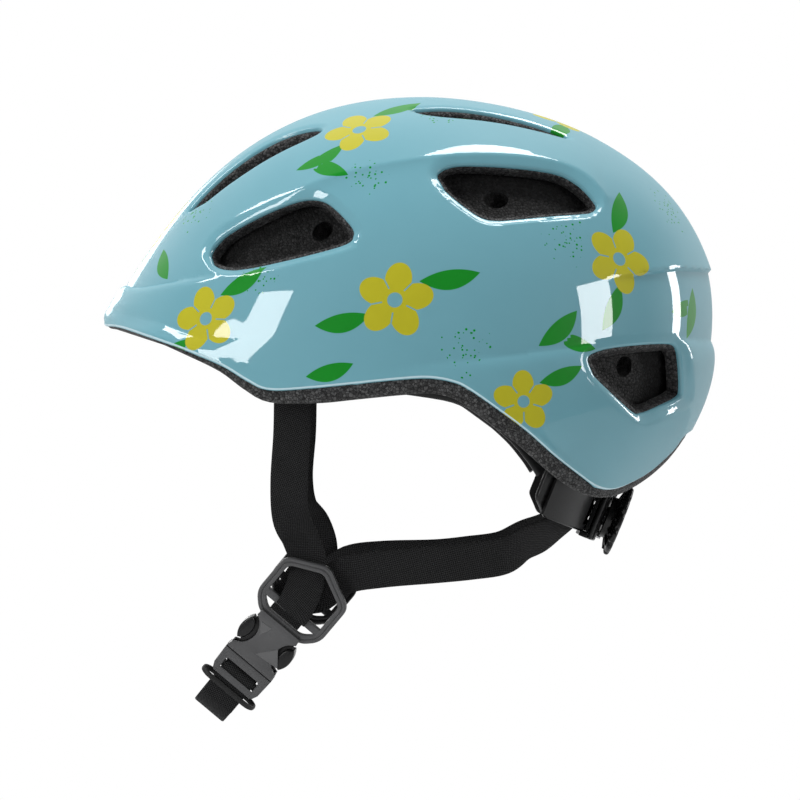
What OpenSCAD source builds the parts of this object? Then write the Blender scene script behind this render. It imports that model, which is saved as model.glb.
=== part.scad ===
// Child's bicycle helmet: thin glossy skin over a foam liner, a head band with a
// rack and pinion dial at the nape, webbing straps and a side release buckle.
// Millimetres. +Z up, the brim points to -Y, the wearer's left is +X.
// The origin lies on the centre plane of the head, level with the flat of the rim.

/* [Shell] */
// Overall width of the shell
shell_w = 190; // [186:1:200]
// Reach of the brim ahead of the origin
brim_reach = 133.5; // [130:0.5:138]
// Reach of the back of the shell behind the origin
rear_reach = 111.5; // [109:0.5:116]
// Height of the crown above the origin
crown_h = 123; // [121:0.5:128]
// Wall of the plastic skin
shell_t = 1.2; // [0.8:0.1:1.8]
// Height of the raised line along the upper flank
ridge_h = 1.4; // [0:0.1:2]
// Outward step of the flank below its lower crease
crease_h = 1.6; // [0:0.1:2.4]
// Foam band left bare below the edge of the skin
rim_band = 5.6; // [4:0.2:7]
// Depth of the foam floor of a flank vent under the skin surface
vent_depth = 9; // [6:0.5:11]

/* [Head space] */
// Inside length of the foam cavity
cavity_l = 180; // [174:1:184]
// Inside width of the foam cavity
cavity_w = 142; // [136:1:146]
// Height of the cavity roof above the origin
cavity_top = 96; // [90:1:98]
// Thickness of the comfort pads
pad_t = 5; // [3:0.5:6]
// Thickness of a hook fastener dot
dot_t = 1.2; // [0.8:0.1:1.4]
// Radius of a hook fastener dot
dot_r = 5; // [4:0.5:6]

/* [Head band] */
// Height of the head band strip
band_h = 12; // [10:0.5:14]
// Thickness of the head band strip
band_t = 1.2; // [0.8:0.1:1.4]
// Shank radius of a snap pin
pin_r = 2; // [1.5:0.1:2.5]
// Head radius of a snap pin
pin_head_r = 4; // [3.5:0.1:4.5]

/* [Size dial] */
// Angle of the dial axis below the horizontal
dial_tilt = 22; // [18:1:26]
// Inside radius of the rear cradle plate
cradle_r = 64.5; // [63.5:0.5:65.5]
// Thickness of the rear cradle plate
cradle_t = 2; // [1.6:0.1:2.2]
// Half height of the rear cradle plate
cradle_half_h = 9.5; // [9:0.5:11]
// Thickness of a toothed strip
rack_t = 1.4; // [1.2:0.1:1.6]
// Half height of a toothed strip
rack_half_h = 8.6; // [8.4:0.1:8.9]
// Number of teeth on the pinion
pinion_teeth = 8; // [8:1:8]
// Pitch circle radius of the pinion
pinion_r = 5; // [4.8:0.1:5.1]
// Radius of the dial
dial_r = 14.6; // [13:0.2:16]
// Number of grip scallops round the dial
dial_scallops = 12; // [8:1:16]
// Radius of the dial shaft
shaft_r = 4; // [3.5:0.1:4.4]
// Wall of the housing cover
cover_t = 2; // [1.6:0.1:2.4]

/* [Straps] */
// Width of the webbing
web_w = 15; // [13:0.5:16]
// Thickness of the webbing
web_t = 1.3; // [1:0.1:1.5]

/* [Buckle] */
// Half width of the strap ring at its shoulders
ring_half_w = 16.4; // [16:0.2:18]
// Thickness of the strap ring
ring_t = 3.4; // [3:0.1:4]
// Width of the rim of the strap ring
ring_rim = 3.4; // [3:0.1:3.8]
// Thickness of the buckle body
buckle_t = 8; // [7.4:0.1:9]
// Half width of the buckle body
buckle_half_w = 11.6; // [11.2:0.1:12]
// Diameter of the rubber cord of the keeper loop
keeper_d = 1.5; // [1.2:0.1:1.8]

/* [Fits] */
// Gap between the skin and the foam, and round embedded pieces
skin_gap = 0.2; // [0.15:0.05:0.3]
// Gap between curved faces that do not fit each other
free_gap = 0.35; // [0.3:0.05:0.45]
// Radial clearance of a turning shaft
run_gap = 0.05; // [0.03:0.01:0.08]
// Slack between meshing teeth along the pitch line
backlash = 0.4; // [0.3:0.05:0.5]

/* [Hidden] */
$fn = 48;

skin_color = [0.42, 0.65, 0.71];
foam_color = [0.11, 0.11, 0.11];
pad_color = [0.16, 0.16, 0.17];
plastic_color = [0.08, 0.08, 0.08];
buckle_color = [0.27, 0.27, 0.28];
web_color = [0.13, 0.13, 0.14];
steel_color = [0.7, 0.7, 0.72];

// Points of the lower edge of the skin in side view: [y, z], brim to nape
skin_rim = [[-150, 31], [-130, 30.5], [-116, 26.5], [-99, 20.5], [-84.5, 14.5],
  [-74.5, 8.5], [-66, 4.8], [-50, 5.5], [-34.5, 7], [-14.5, 9], [-3, 9.5],
  [6.5, 7.8], [13, 4.6], [26, -4.6], [36, -12.2], [46, -21], [55, -28],
  [63, -33.4], [70, -34.8], [77.5, -32.5], [86, -28], [95, -20.5], [104, -12],
  [130, -8]];
// Share of the foam band that shows along the side: [y, share]
band_share = [[-116, 0.15], [-99, 0.3], [-84, 0.45], [-66, 0.8], [-50, 1],
  [56, 1], [70, 0.55], [86, 0.35]];
// Raised line along the upper flank: [y, z]
ridge_line = [[-52, 83], [-32, 90], [-15, 93.5], [6, 96], [39, 94.5], [58, 89.5],
  [70, 79]];
// Crease along the lower flank: [y, z]
crease_line = [[-20, 12], [8, 15.3], [31, 18], [50, 20.4], [66, 22]];

// Vents through the flank, seen from the side: corner circles [y, z, r]
front_vent = [[-85.3, 56.8, 4.9], [-78.6, 56.4, 4.7], [-48.7, 74.6, 4.8],
  [-38, 65.6, 4.8]];
upper_vent = [[5.1, 87.3, 4.4], [11.4, 87.7, 5], [46.9, 84.5, 5], [58.3, 79, 4.7],
  [23.6, 76.6, 5.4]];
rear_vent = [[63.7, 16.2, 3.7], [91.5, 19, 3.7], [92.2, 4, 3.7], [80.8, -1.9, 4]];
// Vents through the roof, seen from above: corner circles [x, y, r]
brow_vent = [[20.6, -97.6, 1.6], [24.6, -88, 5], [27.2, -76, 6.4], [29, -66, 6.2],
  [34, -49.5, 2.6]];
roof_vent = [[33, -6.6, 1.8], [35.6, 4, 4.3], [35.6, 16, 4.5], [34.4, 32, 3.6],
  [32.6, 48.6, 1.8]];

// Height of the middle of the brim, flank and back, where the skin is widest
wide_z = [34, 5, 22];
// Place of the widest section and of the crown along the head
wide_y = 8;
crown_y = -6.5;
// Height where the skin surface ends, well under the rim
skin_floor = -48;
// Bezier handles of the front, side and rear meridians, and their tuck-in
handle_out = [0.561, 0.58, 0.379];
handle_in = [0.802, 1, 1.086];
handle_drop = [0.469, 0.6, 0.766];
tuck = [0.1, 0.07, 0.36];

// Middle and half length of the cavity, and the level where its roof starts
cavity_y = -8;
cavity_spring = 20;

// Middle of the circle that the toothed strips follow, in the centre plane
dial_y = 1.5;
dial_z = -19.9;
// Middle of the buckle ring, its distance off the centre plane and its lean
chin_y = -53.7;
chin_z = -79.7;
chin_x = 46;
chin_turn = 40;
buckle_lean = 12;
// The far ring sits this much higher along the straps
divider_rise = 5;

function unit(v) = v / norm(v);
function between(a, b, t) = a + (b - a) * t;
function clamp01(t) = min(1, max(0, t));
function flat(rows) = [for (r = rows) for (p = r) p];

// Smooth curve through points, with n steps between each pair
function curve_at(a, b, c, d, t) =
  0.5 * (2 * b + (c - a) * t + (2 * a - 5 * b + 4 * c - d) * t * t
    + (3 * b - a - 3 * c + d) * t * t * t);
function curve(p, n) = let (last = len(p) - 1)
  concat([for (i = [0 : last - 1]) for (k = [0 : n - 1])
    curve_at(p[max(i - 1, 0)], p[i], p[i + 1], p[min(i + 2, last)], k / n)],
    [p[last]]);

// Closed outline with its corners rounded by r
function rounded(p, r, n = 4) = let (c = len(p))
  [for (i = [0 : c - 1])
    let (b = p[i], a = b + unit(p[(i + c - 1) % c] - b) * r,
      d = b + unit(p[(i + 1) % c] - b) * r)
    for (k = [0 : n]) let (t = k / n)
      (1 - t) * (1 - t) * a + 2 * (1 - t) * t * b + t * t * d];

// Solid between two grids of points of the same size
module slab(outer, inner) {
  rows = len(outer);
  cols = len(outer[0]);
  total = rows * cols;
  lift = outer[0][0] - inner[0][0];
  turn = cross(outer[0][1] - outer[0][0], outer[1][0] - outer[0][0]) * lift;
  quads = concat(
    [for (i = [0 : rows - 2]) for (j = [0 : cols - 2])
      [i * cols + j, (i + 1) * cols + j, (i + 1) * cols + j + 1, i * cols + j + 1]],
    [for (i = [0 : rows - 2]) for (j = [0 : cols - 2])
      [i * cols + j, i * cols + j + 1, (i + 1) * cols + j + 1, (i + 1) * cols + j]
        + [total, total, total, total]],
    [for (i = [0 : rows - 2]) let (a = i * cols, b = a + cols)
      [a, a + total, b + total, b]],
    [for (i = [0 : rows - 2]) let (a = (i + 1) * cols - 1, b = a + cols)
      [a, b, b + total, a + total]],
    [for (j = [0 : cols - 2]) [j, j + 1, j + 1 + total, j + total]],
    [for (j = [0 : cols - 2]) let (a = (rows - 1) * cols + j)
      [a, a + total, a + 1 + total, a + 1]]);
  polyhedron(points = concat(flat(outer), flat(inner)),
    faces = [for (q = quads) for (f = [[q[0], q[1], q[2]], [q[0], q[2], q[3]]])
      turn > 0 ? f : [f[2], f[1], f[0]]], convexity = 6);
}

// Ribbon of width w and thickness t along a path that faces the given normals
module ribbon(path, normals, w, t) {
  last = len(path) - 1;
  frames = [for (i = [0 : last])
    let (along = unit(path[min(i + 1, last)] - path[max(i - 1, 0)]),
      across = unit(cross(normals[i], along)), face = cross(along, across))
    [path[i], across * w / 2, face * t / 2]];
  slab([for (f = frames) [f[0] - f[1] + f[2], f[0] + f[1] + f[2]]],
    [for (f = frames) [f[0] - f[1] - f[2], f[0] + f[1] - f[2]]]);
}

// Draws a side view outline [y, z] and carries it along X
module side_prism(points, x0, x1) {
  translate([x0, 0, 0]) rotate([90, 0, 90]) linear_extrude(x1 - x0) polygon(points);
}

// Skin surface: meridians from the crown, blended from front, side and rear
function blend3(v, w) = v[0] * w[0] + v[1] * w[1] + v[2] * w[2];
function shares(a) = [pow(max(cos(a), 0), 2), pow(sin(a), 2), pow(max(-cos(a), 0), 2)];
function skin_base(a, t) =
  let (w = shares(a), u = clamp01(t), q = clamp01(t - 1),
    rim_x = shell_w / 2 * sin(a),
    rim_y = wide_y - (cos(a) > 0 ? brim_reach + wide_y : rear_reach - wide_y) * cos(a),
    out = 3 * pow(1 - u, 2) * u * blend3(handle_out, w)
      + 3 * (1 - u) * u * u * blend3(handle_in, w) + pow(u, 3)
      - blend3(tuck, w) * q * q,
    drop = pow(1 - u, 3) + 3 * pow(1 - u, 2) * u
      + 3 * (1 - u) * u * u * blend3(handle_drop, w),
    z_wide = blend3(wide_z, w))
  [rim_x * out, crown_y + (rim_y - crown_y) * out,
    z_wide + (crown_h - z_wide) * drop - (z_wide - skin_floor) * q];
function skin_normal(a, t) = let (s = max(0.04, min(t, 1.96)))
  unit(cross(skin_base(a, s + 0.02) - skin_base(a, s - 0.02),
    skin_base(a + 1, s) - skin_base(a - 1, s)));

// Parameter where a meridian crosses a line drawn in side view
function meet(a, line, low, high, n = 12) = let (m = (low + high) / 2,
    p = skin_base(a, m))
  n == 0 ? m : p[2] > lookup(p[1], line) ? meet(a, line, m, high, n - 1)
    : meet(a, line, low, m, n - 1);

// Raised ridge and stepped crease, fading out towards their ends
function relief(p) =
  let (above = abs(p[2] - lookup(p[1], ridge_line)),
    below = lookup(p[1], crease_line) - p[2],
    ridge_fade = clamp01((p[1] + 62) / 24) * clamp01((84 - p[1]) / 24),
    crease_fade = clamp01((p[1] + 34) / 60) * clamp01((100 - p[1]) / 30))
  ridge_h * ridge_fade * pow(clamp01(1 - above / 14), 2)
    + crease_h * crease_fade * (below > 0 ? 1 - exp(-below / 7) : 0);

skin_cols = 56;
function skin_rows(a) =
  let (r = meet(a, ridge_line, 0.1, 0.95), c = meet(a, crease_line, r, 1.6))
  concat([for (k = [1 : 5]) r * k / 5.6], [r],
    [for (k = [1 : 4]) between(r, c, k / 4.4)], [c],
    [for (k = [1 : 4]) between(c, 2, (k - 0.3) / 3.7)]);
function skin_point(a, t, inset) =
  let (p = skin_base(a, t)) p + skin_normal(a, t) * (relief(p) - inset);

// Solid inside the skin surface, moved inwards by inset
module skin_body(inset) {
  rings = [for (i = [0 : skin_cols - 1]) let (a = 360 * i / skin_cols)
    [for (t = skin_rows(a)) skin_point(a, t, inset)]];
  n = len(rings[0]);
  polyhedron(points = concat([[0, crown_y, crown_h - inset]], flat(rings)),
    faces = concat(
      [for (i = [0 : skin_cols - 1]) let (j = (i + 1) % skin_cols)
        [0, 1 + j * n, 1 + i * n]],
      [for (i = [0 : skin_cols - 1]) let (j = (i + 1) % skin_cols)
        for (k = [0 : n - 2]) for (f = [
          [i * n + k, j * n + k + 1, i * n + k + 1],
          [i * n + k, j * n + k, j * n + k + 1]]) f + [1, 1, 1]],
      [[for (i = [0 : skin_cols - 1]) (i + 1) * n]]), convexity = 6);
}

// Everything below a rim line, for cutting
module below_rim(line) {
  side_prism(concat(curve(line, 3), [[130, -140], [-150, -140]]),
    -shell_w, shell_w);
}
function band_line() = [for (i = [0 : len(skin_rim) - 1])
  let (p = skin_rim[i], d = unit(skin_rim[min(i + 1, len(skin_rim) - 1)]
    - skin_rim[max(i - 1, 0)]))
  p + [d[1], -d[0]] * rim_band * lookup(p[0], band_share)];

// Cutters of the three flank vents of one side, widened outwards by spread
module flank_cutters(spread) {
  for (vent = [front_vent, upper_vent, rear_vent])
    hull() for (c = vent) translate([25, c[0], c[1]]) rotate([0, 90, 0])
      cylinder(h = shell_w / 2, r1 = c[2] - 1.2, r2 = c[2] + spread, $fn = 20);
}
// Cutters of the two roof vents of one side, which go right through the foam
module roof_cutters(spread) {
  for (vent = [brow_vent, roof_vent])
    hull() for (c = vent) translate([c[0], c[1], 40])
      cylinder(h = crown_h - 30, r1 = c[2] * 0.7, r2 = c[2] + spread, $fn = 20);
}
// Air passages from the floors of the flank vents to the cavity: outer and inner ends
passages = [[[74, -53, 66], [40, -28, 68]], [[70, 20, 81.5], [32, 40, 66]],
  [[80, 81, 7], [24, 60, 26]]];
passage_r = 4;
module air_passages() {
  for (ends = passages) let (way = ends[1] - ends[0])
    translate(ends[0]) rotate([0, acos(way[2] / norm(way)), atan2(way[1], way[0])])
      cylinder(h = norm(way), r = passage_r, $fn = 20);
}
module both_sides() {
  children();
  mirror([1, 0, 0]) children();
}

module outer_shell() {
  color(skin_color) difference() {
    skin_body(0);
    skin_body(shell_t);
    below_rim(skin_rim);
    both_sides() {
      flank_cutters(0.4);
      roof_cutters(0.4);
    }
  }
}

// Cavity wall: an elliptic cylinder up to the spring line, an ellipsoid above
function cavity_scale(z) = z < cavity_spring ? 1 :
  sqrt(max(0, 1 - pow((z - cavity_spring) / (cavity_top - cavity_spring), 2)));
function cavity_point(a, z, inset) = let (s = cavity_scale(z),
    hx = cavity_w / 2 - inset, hy = cavity_l / 2 - inset)
  [hx * sin(a) * s, cavity_y - hy * cos(a) * s, z - inset * (1 - s)];
module head_space() {
  translate([0, cavity_y, cavity_spring]) {
    scale([cavity_w / 2, cavity_l / 2, cavity_top - cavity_spring])
      sphere(1, $fn = 60);
    translate([0, 0, -90]) scale([cavity_w / 2, cavity_l / 2, 1])
      cylinder(h = 90, r = 1, $fn = 60);
  }
}

// Mouth of the slot in the foam where a front strap leaves it: [x, y, z]
strap_exit = [68, -57, 0];
slot_depth = 14;
module strap_slot() {
  gap = 2 * free_gap;
  translate(strap_exit - [web_t / 2 + gap, web_w / 2 + gap, 20])
    cube([web_t + 2 * gap, web_w + 2 * gap, slot_depth + anchor_h + 20]);
  translate(strap_exit
    + [-anchor_t / 2 - free_gap, -anchor_l / 2 - free_gap, slot_depth - free_gap])
    cube([anchor_t, anchor_l, anchor_h] + 2 * free_gap * [1, 1, 1]);
}
anchor_t = 4;
anchor_l = web_w + 5;
anchor_h = 4;

// Height of the band's middle at an angle round the cavity, and its snap pins
function band_z(a) = lookup(abs(a), [[0, 31], [36, 27], [60, 17], [84, 9]]);
band_pin_spots = [for (a = [-78, -50, 50, 78]) [a, band_z(a)]];
pin_len = 7;
// Pin of the cradle stem in the back of the foam
stem_pin_z = 2;

module foam_liner() {
  color(foam_color) difference() {
    skin_body(shell_t + skin_gap);
    below_rim(band_line());
    head_space();
    difference() {
      both_sides() flank_cutters(-0.2);
      skin_body(vent_depth);
    }
    both_sides() {
      roof_cutters(-0.2);
      air_passages();
      strap_slot();
    }
    for (spot = concat(band_pin_spots, [[180, stem_pin_z]])) at_wall(spot, 2)
      cylinder(h = pin_len + 2 + free_gap, r = pin_r + skin_gap, $fn = 20);
    at_nape() arc_plate(rack_a_r - free_gap, cover_r - rack_a_r + free_gap,
      -rack_half_h - free_gap, rack_half_h + free_gap, -strip_room, strip_room);
  }
}

// Pads: a grid on the cavity wall that swells towards the head in its middle
dot_inset = free_gap + 0.1 + dot_t;
wall_back = dot_inset + free_gap;
brow_step = band_t + 2 * free_gap;
function puff(u, v) = pow(1 - pow(abs(2 * u - 1), 4), 0.5)
  * pow(1 - pow(abs(2 * v - 1), 4), 0.5);
pad_edge = 1.2;
function swell(u, v) = pad_edge + (pad_t - pad_edge) * puff(u, v);
module wall_pad(a0, a1, z0, z1, back, n, m = 6) {
  slab([for (i = [0 : n]) [for (j = [0 : m])
      cavity_point(between(a0, a1, i / n), between(z0, z1, j / m), back)]],
    [for (i = [0 : n]) [for (j = [0 : m])
      cavity_point(between(a0, a1, i / n), between(z0, z1, j / m),
        back + swell(i / n, j / m))]]);
}
module front_pad() { color(pad_color) wall_pad(-38, 38, 22, 44, wall_back + brow_step, 14); }
module left_pad() { color(pad_color) wall_pad(104, 62, 28, 58, wall_back, 8); }
module right_pad() { color(pad_color) wall_pad(-62, -104, 28, 58, wall_back, 8); }

// Crown pad: a rounded cross strip under the roof of the cavity
crown_pad_l = 90;
crown_pad_w = 34;
function roof_z(x, y) = cavity_spring + (cavity_top - cavity_spring)
  * sqrt(1 - pow(x / (cavity_w / 2), 2) - pow(y / (cavity_l / 2), 2));
function crown_grid(face, n, m) = [for (i = [0 : n]) [for (j = [0 : m])
  let (u = i / n, v = j / m, y = crown_pad_l * (u - 0.5),
    x = crown_pad_w * (v - 0.5) * (0.7 + 0.3 * sin(180 * u)))
  [x, cavity_y + y, roof_z(x, y) - wall_back - (face ? swell(u, v) : 0)]]];
module crown_pad() {
  color(pad_color) slab(crown_grid(false, 12, 6), crown_grid(true, 12, 6));
}

// Hook dots: angle round the cavity, height, and 1 for those inside the band
dot_spots = [[75, 43, 0], [91, 43, 0], [-75, 43, 0], [-91, 43, 0], [0, 92.7, 0],
  [180, 92.7, 0], [-22, 33, 1], [22, 33, 1]];
module hook_dots() {
  color(plastic_color) for (s = dot_spots)
    at_wall(s, dot_inset + s[2] * brow_step) cylinder(h = dot_t, r = dot_r);
}
// Frame on the cavity wall, its Z axis pointing out of the head
module at_wall(spot, inset) {
  p = cavity_point(spot[0], spot[1], 0);
  up = cavity_point(spot[0], spot[1] + 1, 0) - cavity_point(spot[0], spot[1] - 1, 0);
  lean = atan2(norm([up[0], up[1]]), up[2]);
  turn = atan2(sin(spot[0]) / cavity_w, cos(spot[0]) / cavity_l);
  translate(p) rotate([0, 0, turn]) rotate([90 - lean, 0, 0])
    translate([0, 0, -inset]) children();
}

// Head band: one strip round the brow, down behind the ears to the cradle
band_inset = free_gap + 0.3 + band_t / 2;
band_brow = [for (a = [0 : 12 : 84]) cavity_point(a, band_z(a), band_inset)];
function cavity_x(y) = cavity_w / 2 * sqrt(1 - pow((y - cavity_y) / (cavity_l / 2), 2));
// Tails of the band behind the ears: [y, z, distance off the cavity wall]
band_tail = [for (t = [[9, 4.5, 0.1], [22, -3, 0.4], [33, -12.5, 1.2], [40, -21, 2.4],
  [43.6, -26.6, 3.4]]) [cavity_x(t[0]) - band_inset - t[2], t[0], t[1]]];
band_half = concat(band_brow, band_tail);
function flip_x(p) = [-p[0], p[1], p[2]];
band_path = curve(concat([for (i = [len(band_half) - 1 : -1 : 1]) flip_x(band_half[i])],
  band_half), 2);
function wall_normal(p) = unit([p[0] / pow(cavity_w / 2, 2),
  (p[1] - cavity_y) / pow(cavity_l / 2, 2),
  max(0, p[2] - cavity_spring) / pow(cavity_top - cavity_spring, 2)]);
module head_band() {
  color(plastic_color) difference() {
    ribbon(band_path, [for (p = band_path) wall_normal(p)], band_h, band_t);
    for (spot = band_pin_spots) at_wall(spot, 4) cylinder(h = 6, r = pin_r + skin_gap);
  }
}

module snap_pin() {
  translate([0, 0, -1.2]) cylinder(h = 1.2, r = pin_head_r);
  cylinder(h = pin_len - 1, r = pin_r);
  translate([0, 0, pin_len - 1]) cylinder(h = 1, r1 = pin_r, r2 = pin_r - 0.8);
}
module band_pins() {
  color(plastic_color) for (spot = band_pin_spots)
    at_wall(spot, band_inset + band_t / 2 + skin_gap) snap_pin();
}

// Frame of the nape mechanism: Y runs out along the dial axis, Z along the strips
module at_nape() {
  translate([0, dial_y, dial_z]) rotate([-dial_tilt, 0, 0]) children();
}
// Curved plate round the nape between two angles from the dial axis
module arc_plate(r, t, z0, z1, a0, a1) {
  rotate([0, 0, 90 - a1]) rotate_extrude(angle = a1 - a0, $fn = 96)
    translate([r, min(z0, z1)]) square([t, abs(z1 - z0)]);
}
cradle_reach = 50;
rivet_a = 21;
rivet_z = -4.4;
rivet_r = 1.4;
// Windows of one side of the cradle: angle, height, width, depth
cradle_windows = [[41, 0.5, 4, 12], [31, 1.5, 6.5, 11], [rivet_a, 3.6, 5, 7]];
rack_a_r = cradle_r + cradle_t + free_gap;
rack_b_r = rack_a_r + rack_t + free_gap;
cover_r = rack_b_r + rack_t + free_gap;
cover_out = cover_r + cover_t;
cover_half_h = 11.2;
cover_reach = 14.5;
screw_head_r = 2.6;
stem_w = 12;
// The strips may slide this far round from the dial, in degrees
strip_room = 60;

// Opening through a curved plate, with round ends, at angle a and height z
module plate_slot(a, z, w, h) {
  rotate([0, 0, -a]) translate([0, cradle_r - 3, z]) rotate([-90, 0, 0])
    linear_extrude(cradle_t + 6) polygon(rounded([[-w / 2, -h / 2], [w / 2, -h / 2],
      [w / 2, h / 2], [-w / 2, h / 2]], 2));
}
module cradle_plate() {
  at_nape() difference() {
    arc_plate(cradle_r, cradle_t, -cradle_half_h, cradle_half_h,
      -cradle_reach, cradle_reach);
    for (side = [-1, 1]) {
      for (w = cradle_windows) plate_slot(side * w[0], w[1], w[2], w[3]);
      at_rivet(side) cylinder(h = 10, r = rivet_r + run_gap);
      rotate([0, 0, -side * cradle_reach]) translate([0, cradle_r, -cradle_half_h])
        rotate([0, -side * 36, 0]) translate([-6, -3, -9]) cube([12, 9, 14]);
    }
    rotate([-90, 0, 0]) cylinder(h = cradle_r + 10, r = screw_head_r + free_gap);
  }
}
// The stem rises from the plate to a tab that lies against the foam, [y, z] there
stem_t = 1.8;
stem_tab = 7;
stem_y = cavity_y + cavity_l / 2 - 2 * free_gap - stem_t / 2;
function nape_yz(p) = let (d = p - [dial_y, dial_z])
  [d[0] * cos(dial_tilt) - d[1] * sin(dial_tilt),
    d[0] * sin(dial_tilt) + d[1] * cos(dial_tilt)];
stem_path = [[cradle_r + stem_t / 2 - 0.3, cradle_half_h - 1],
  nape_yz([stem_y, stem_pin_z - stem_tab]), nape_yz([stem_y, stem_pin_z + stem_tab])];
module rear_cradle() {
  color(plastic_color) difference() {
    union() {
      cradle_plate();
      at_nape() translate([-stem_w / 2, 0, 0]) rotate([90, 0, 90])
        linear_extrude(stem_w) strip_outline(stem_path, stem_t);
    }
    at_wall([180, stem_pin_z], 4) cylinder(h = 6, r = pin_r + skin_gap);
  }
}
module cradle_pin() {
  color(plastic_color) at_wall([180, stem_pin_z], 2 * free_gap + stem_t + skin_gap)
    snap_pin();
}

module dial_cover() {
  color(plastic_color) at_nape() difference() {
    union() {
      arc_plate(cover_r, cover_t, -cover_half_h, cover_half_h,
        -cover_reach, cover_reach);
      for (side = [-1, 1]) arc_plate(cradle_r + cradle_t + skin_gap,
        cover_r - cradle_r - cradle_t - skin_gap + 0.1,
        side > 0 ? rack_half_h + free_gap : -cover_half_h,
        side > 0 ? cover_half_h : -rack_half_h - free_gap, -cover_reach, cover_reach);
    }
    rotate([-90, 0, 0]) cylinder(h = cover_out + 10, r = shaft_r + run_gap);
  }
}

// Involute pinion with a 25 degree pressure angle
pressure = 25;
module_size = 2 * pinion_r / pinion_teeth;
base_r = pinion_r * cos(pressure);
tip_r = pinion_r + 0.8 * module_size;
root_r = pinion_r - 0.95 * module_size;
function involute(a) = tan(a) * 180 / PI - a;
function flank_angle(r) = let (half = 90 / pinion_teeth
    - backlash / 4 / pinion_r * 180 / PI + involute(pressure))
  half - (r > base_r ? involute(acos(base_r / r)) : 0);
function tooth_outline() = let (steps = 5)
  concat([for (k = [0 : steps]) let (r = between(root_r, tip_r, k / steps))
      [r, -flank_angle(r)]],
    [for (k = [steps : -1 : 0]) let (r = between(root_r, tip_r, k / steps))
      [r, flank_angle(r)]]);
module pinion_outline() {
  polygon([for (i = [0 : pinion_teeth - 1]) for (p = tooth_outline())
    let (a = 360 * (i + 0.5) / pinion_teeth + p[1] + 90) p[0] * [cos(a), sin(a)]]);
}
module drive_pinion() {
  color(plastic_color) at_nape() rotate([-90, 0, 0]) difference() {
    translate([0, 0, rack_a_r]) linear_extrude(cover_r - rack_a_r - free_gap)
      pinion_outline();
    translate([0, 0, rack_a_r - 1]) cylinder(h = 20, r = stub_r + run_gap);
  }
}
stub_r = 2;
screw_r = 1.2;

// Toothed strip: a curved plate with a long window, teeth on one edge of it
tooth_step = 360 / pinion_teeth;
travel_min = -75;
travel_max = 175;
module toothed_strip(r, up, outer_end) {
  ratio = pinion_r / (r + rack_t / 2);
  pitch = tooth_step * ratio;
  slack = (tip_r + 0.6) / r * 180 / PI;
  low = travel_min * ratio - slack;
  high = travel_max * ratio + slack;
  edge = pinion_r + 0.95 * module_size;
  difference() {
    arc_plate(r, rack_t, -rack_half_h, rack_half_h, low - 4, outer_end);
    difference() {
      arc_plate(r - 1, rack_t + 2, up * edge, -up * (tip_r + 0.3), low, high);
      for (k = [ceil(low / pitch + 0.4) : floor(high / pitch - 0.4)])
        rotate([0, 0, -k * pitch]) translate([0, r - 2, 0]) rack_tooth(up);
    }
  }
}
module rack_tooth(up) {
  half = PI * module_size / 4 - backlash / 4;
  tip = pinion_r - 0.7 * module_size;
  base = pinion_r + module_size;
  rotate([-90, 0, 0]) linear_extrude(rack_t + 4) polygon([
    [-half - (base - pinion_r) * tan(pressure), -up * base],
    [half + (base - pinion_r) * tan(pressure), -up * base],
    [half - (pinion_r - tip) * tan(pressure), -up * tip],
    [-half + (pinion_r - tip) * tan(pressure), -up * tip]]);
}
module rack_left() {
  color(plastic_color) at_nape() toothed_strip(rack_a_r, 1, 46);
}
module rack_right() {
  color(plastic_color) at_nape() mirror([1, 0, 0])
    toothed_strip(rack_b_r, -1, 46);
}

// Dial: shaft, hub with click notches and a flared grip disc with scallops
hub_r = 8.6;
hub_back = cover_out + 0.5;
disc_back = hub_back + 3.4;
disc_t = 3.4;
click_notches = 24;
module dial_knob() {
  color(plastic_color) at_nape() rotate([-90, 0, 0]) difference() {
    union() {
      translate([0, 0, cover_r - free_gap]) cylinder(h = 8, r = shaft_r);
      translate([0, 0, rack_a_r + 0.1]) cylinder(h = 8, r = stub_r);
      translate([0, 0, hub_back]) cylinder(h = disc_back - hub_back + 1, r = hub_r);
      translate([0, 0, disc_back]) rotate_extrude() polygon([[0, 0], [hub_r, 0],
        [dial_r - 0.8, 0.9], [dial_r, 1.5], [dial_r, disc_t - 0.6],
        [dial_r - 0.7, disc_t], [dial_r - 3.4, disc_t], [dial_r - 4.6, disc_t - 0.9],
        [0, disc_t - 0.5]]);
    }
    for (i = [0 : dial_scallops - 1]) rotate([0, 0, 360 * (i + 0.5) / dial_scallops])
      translate([dial_r + 1, 0, disc_back - 1]) cylinder(h = disc_t + 2, r = 2.1);
    for (i = [0 : click_notches - 1]) rotate([0, 0, 360 * i / click_notches])
      translate([hub_r + 0.3, 0, hub_back - 1]) cylinder(h = 3, r = 0.7, $fn = 16);
    translate([0, 0, rack_a_r - 1]) cylinder(h = 9, r = screw_r + run_gap);
  }
}
module dial_screw() {
  color(steel_color) at_nape() rotate([-90, 0, 0]) {
    translate([0, 0, rack_a_r - 1.8]) difference() {
      cylinder(h = 1.6, r = screw_head_r);
      translate([0, 0, -0.1]) cylinder(h = 0.9, r = 1.1, $fn = 6);
    }
    translate([0, 0, rack_a_r - 0.4]) cylinder(h = 7.5, r = screw_r);
  }
}
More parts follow.
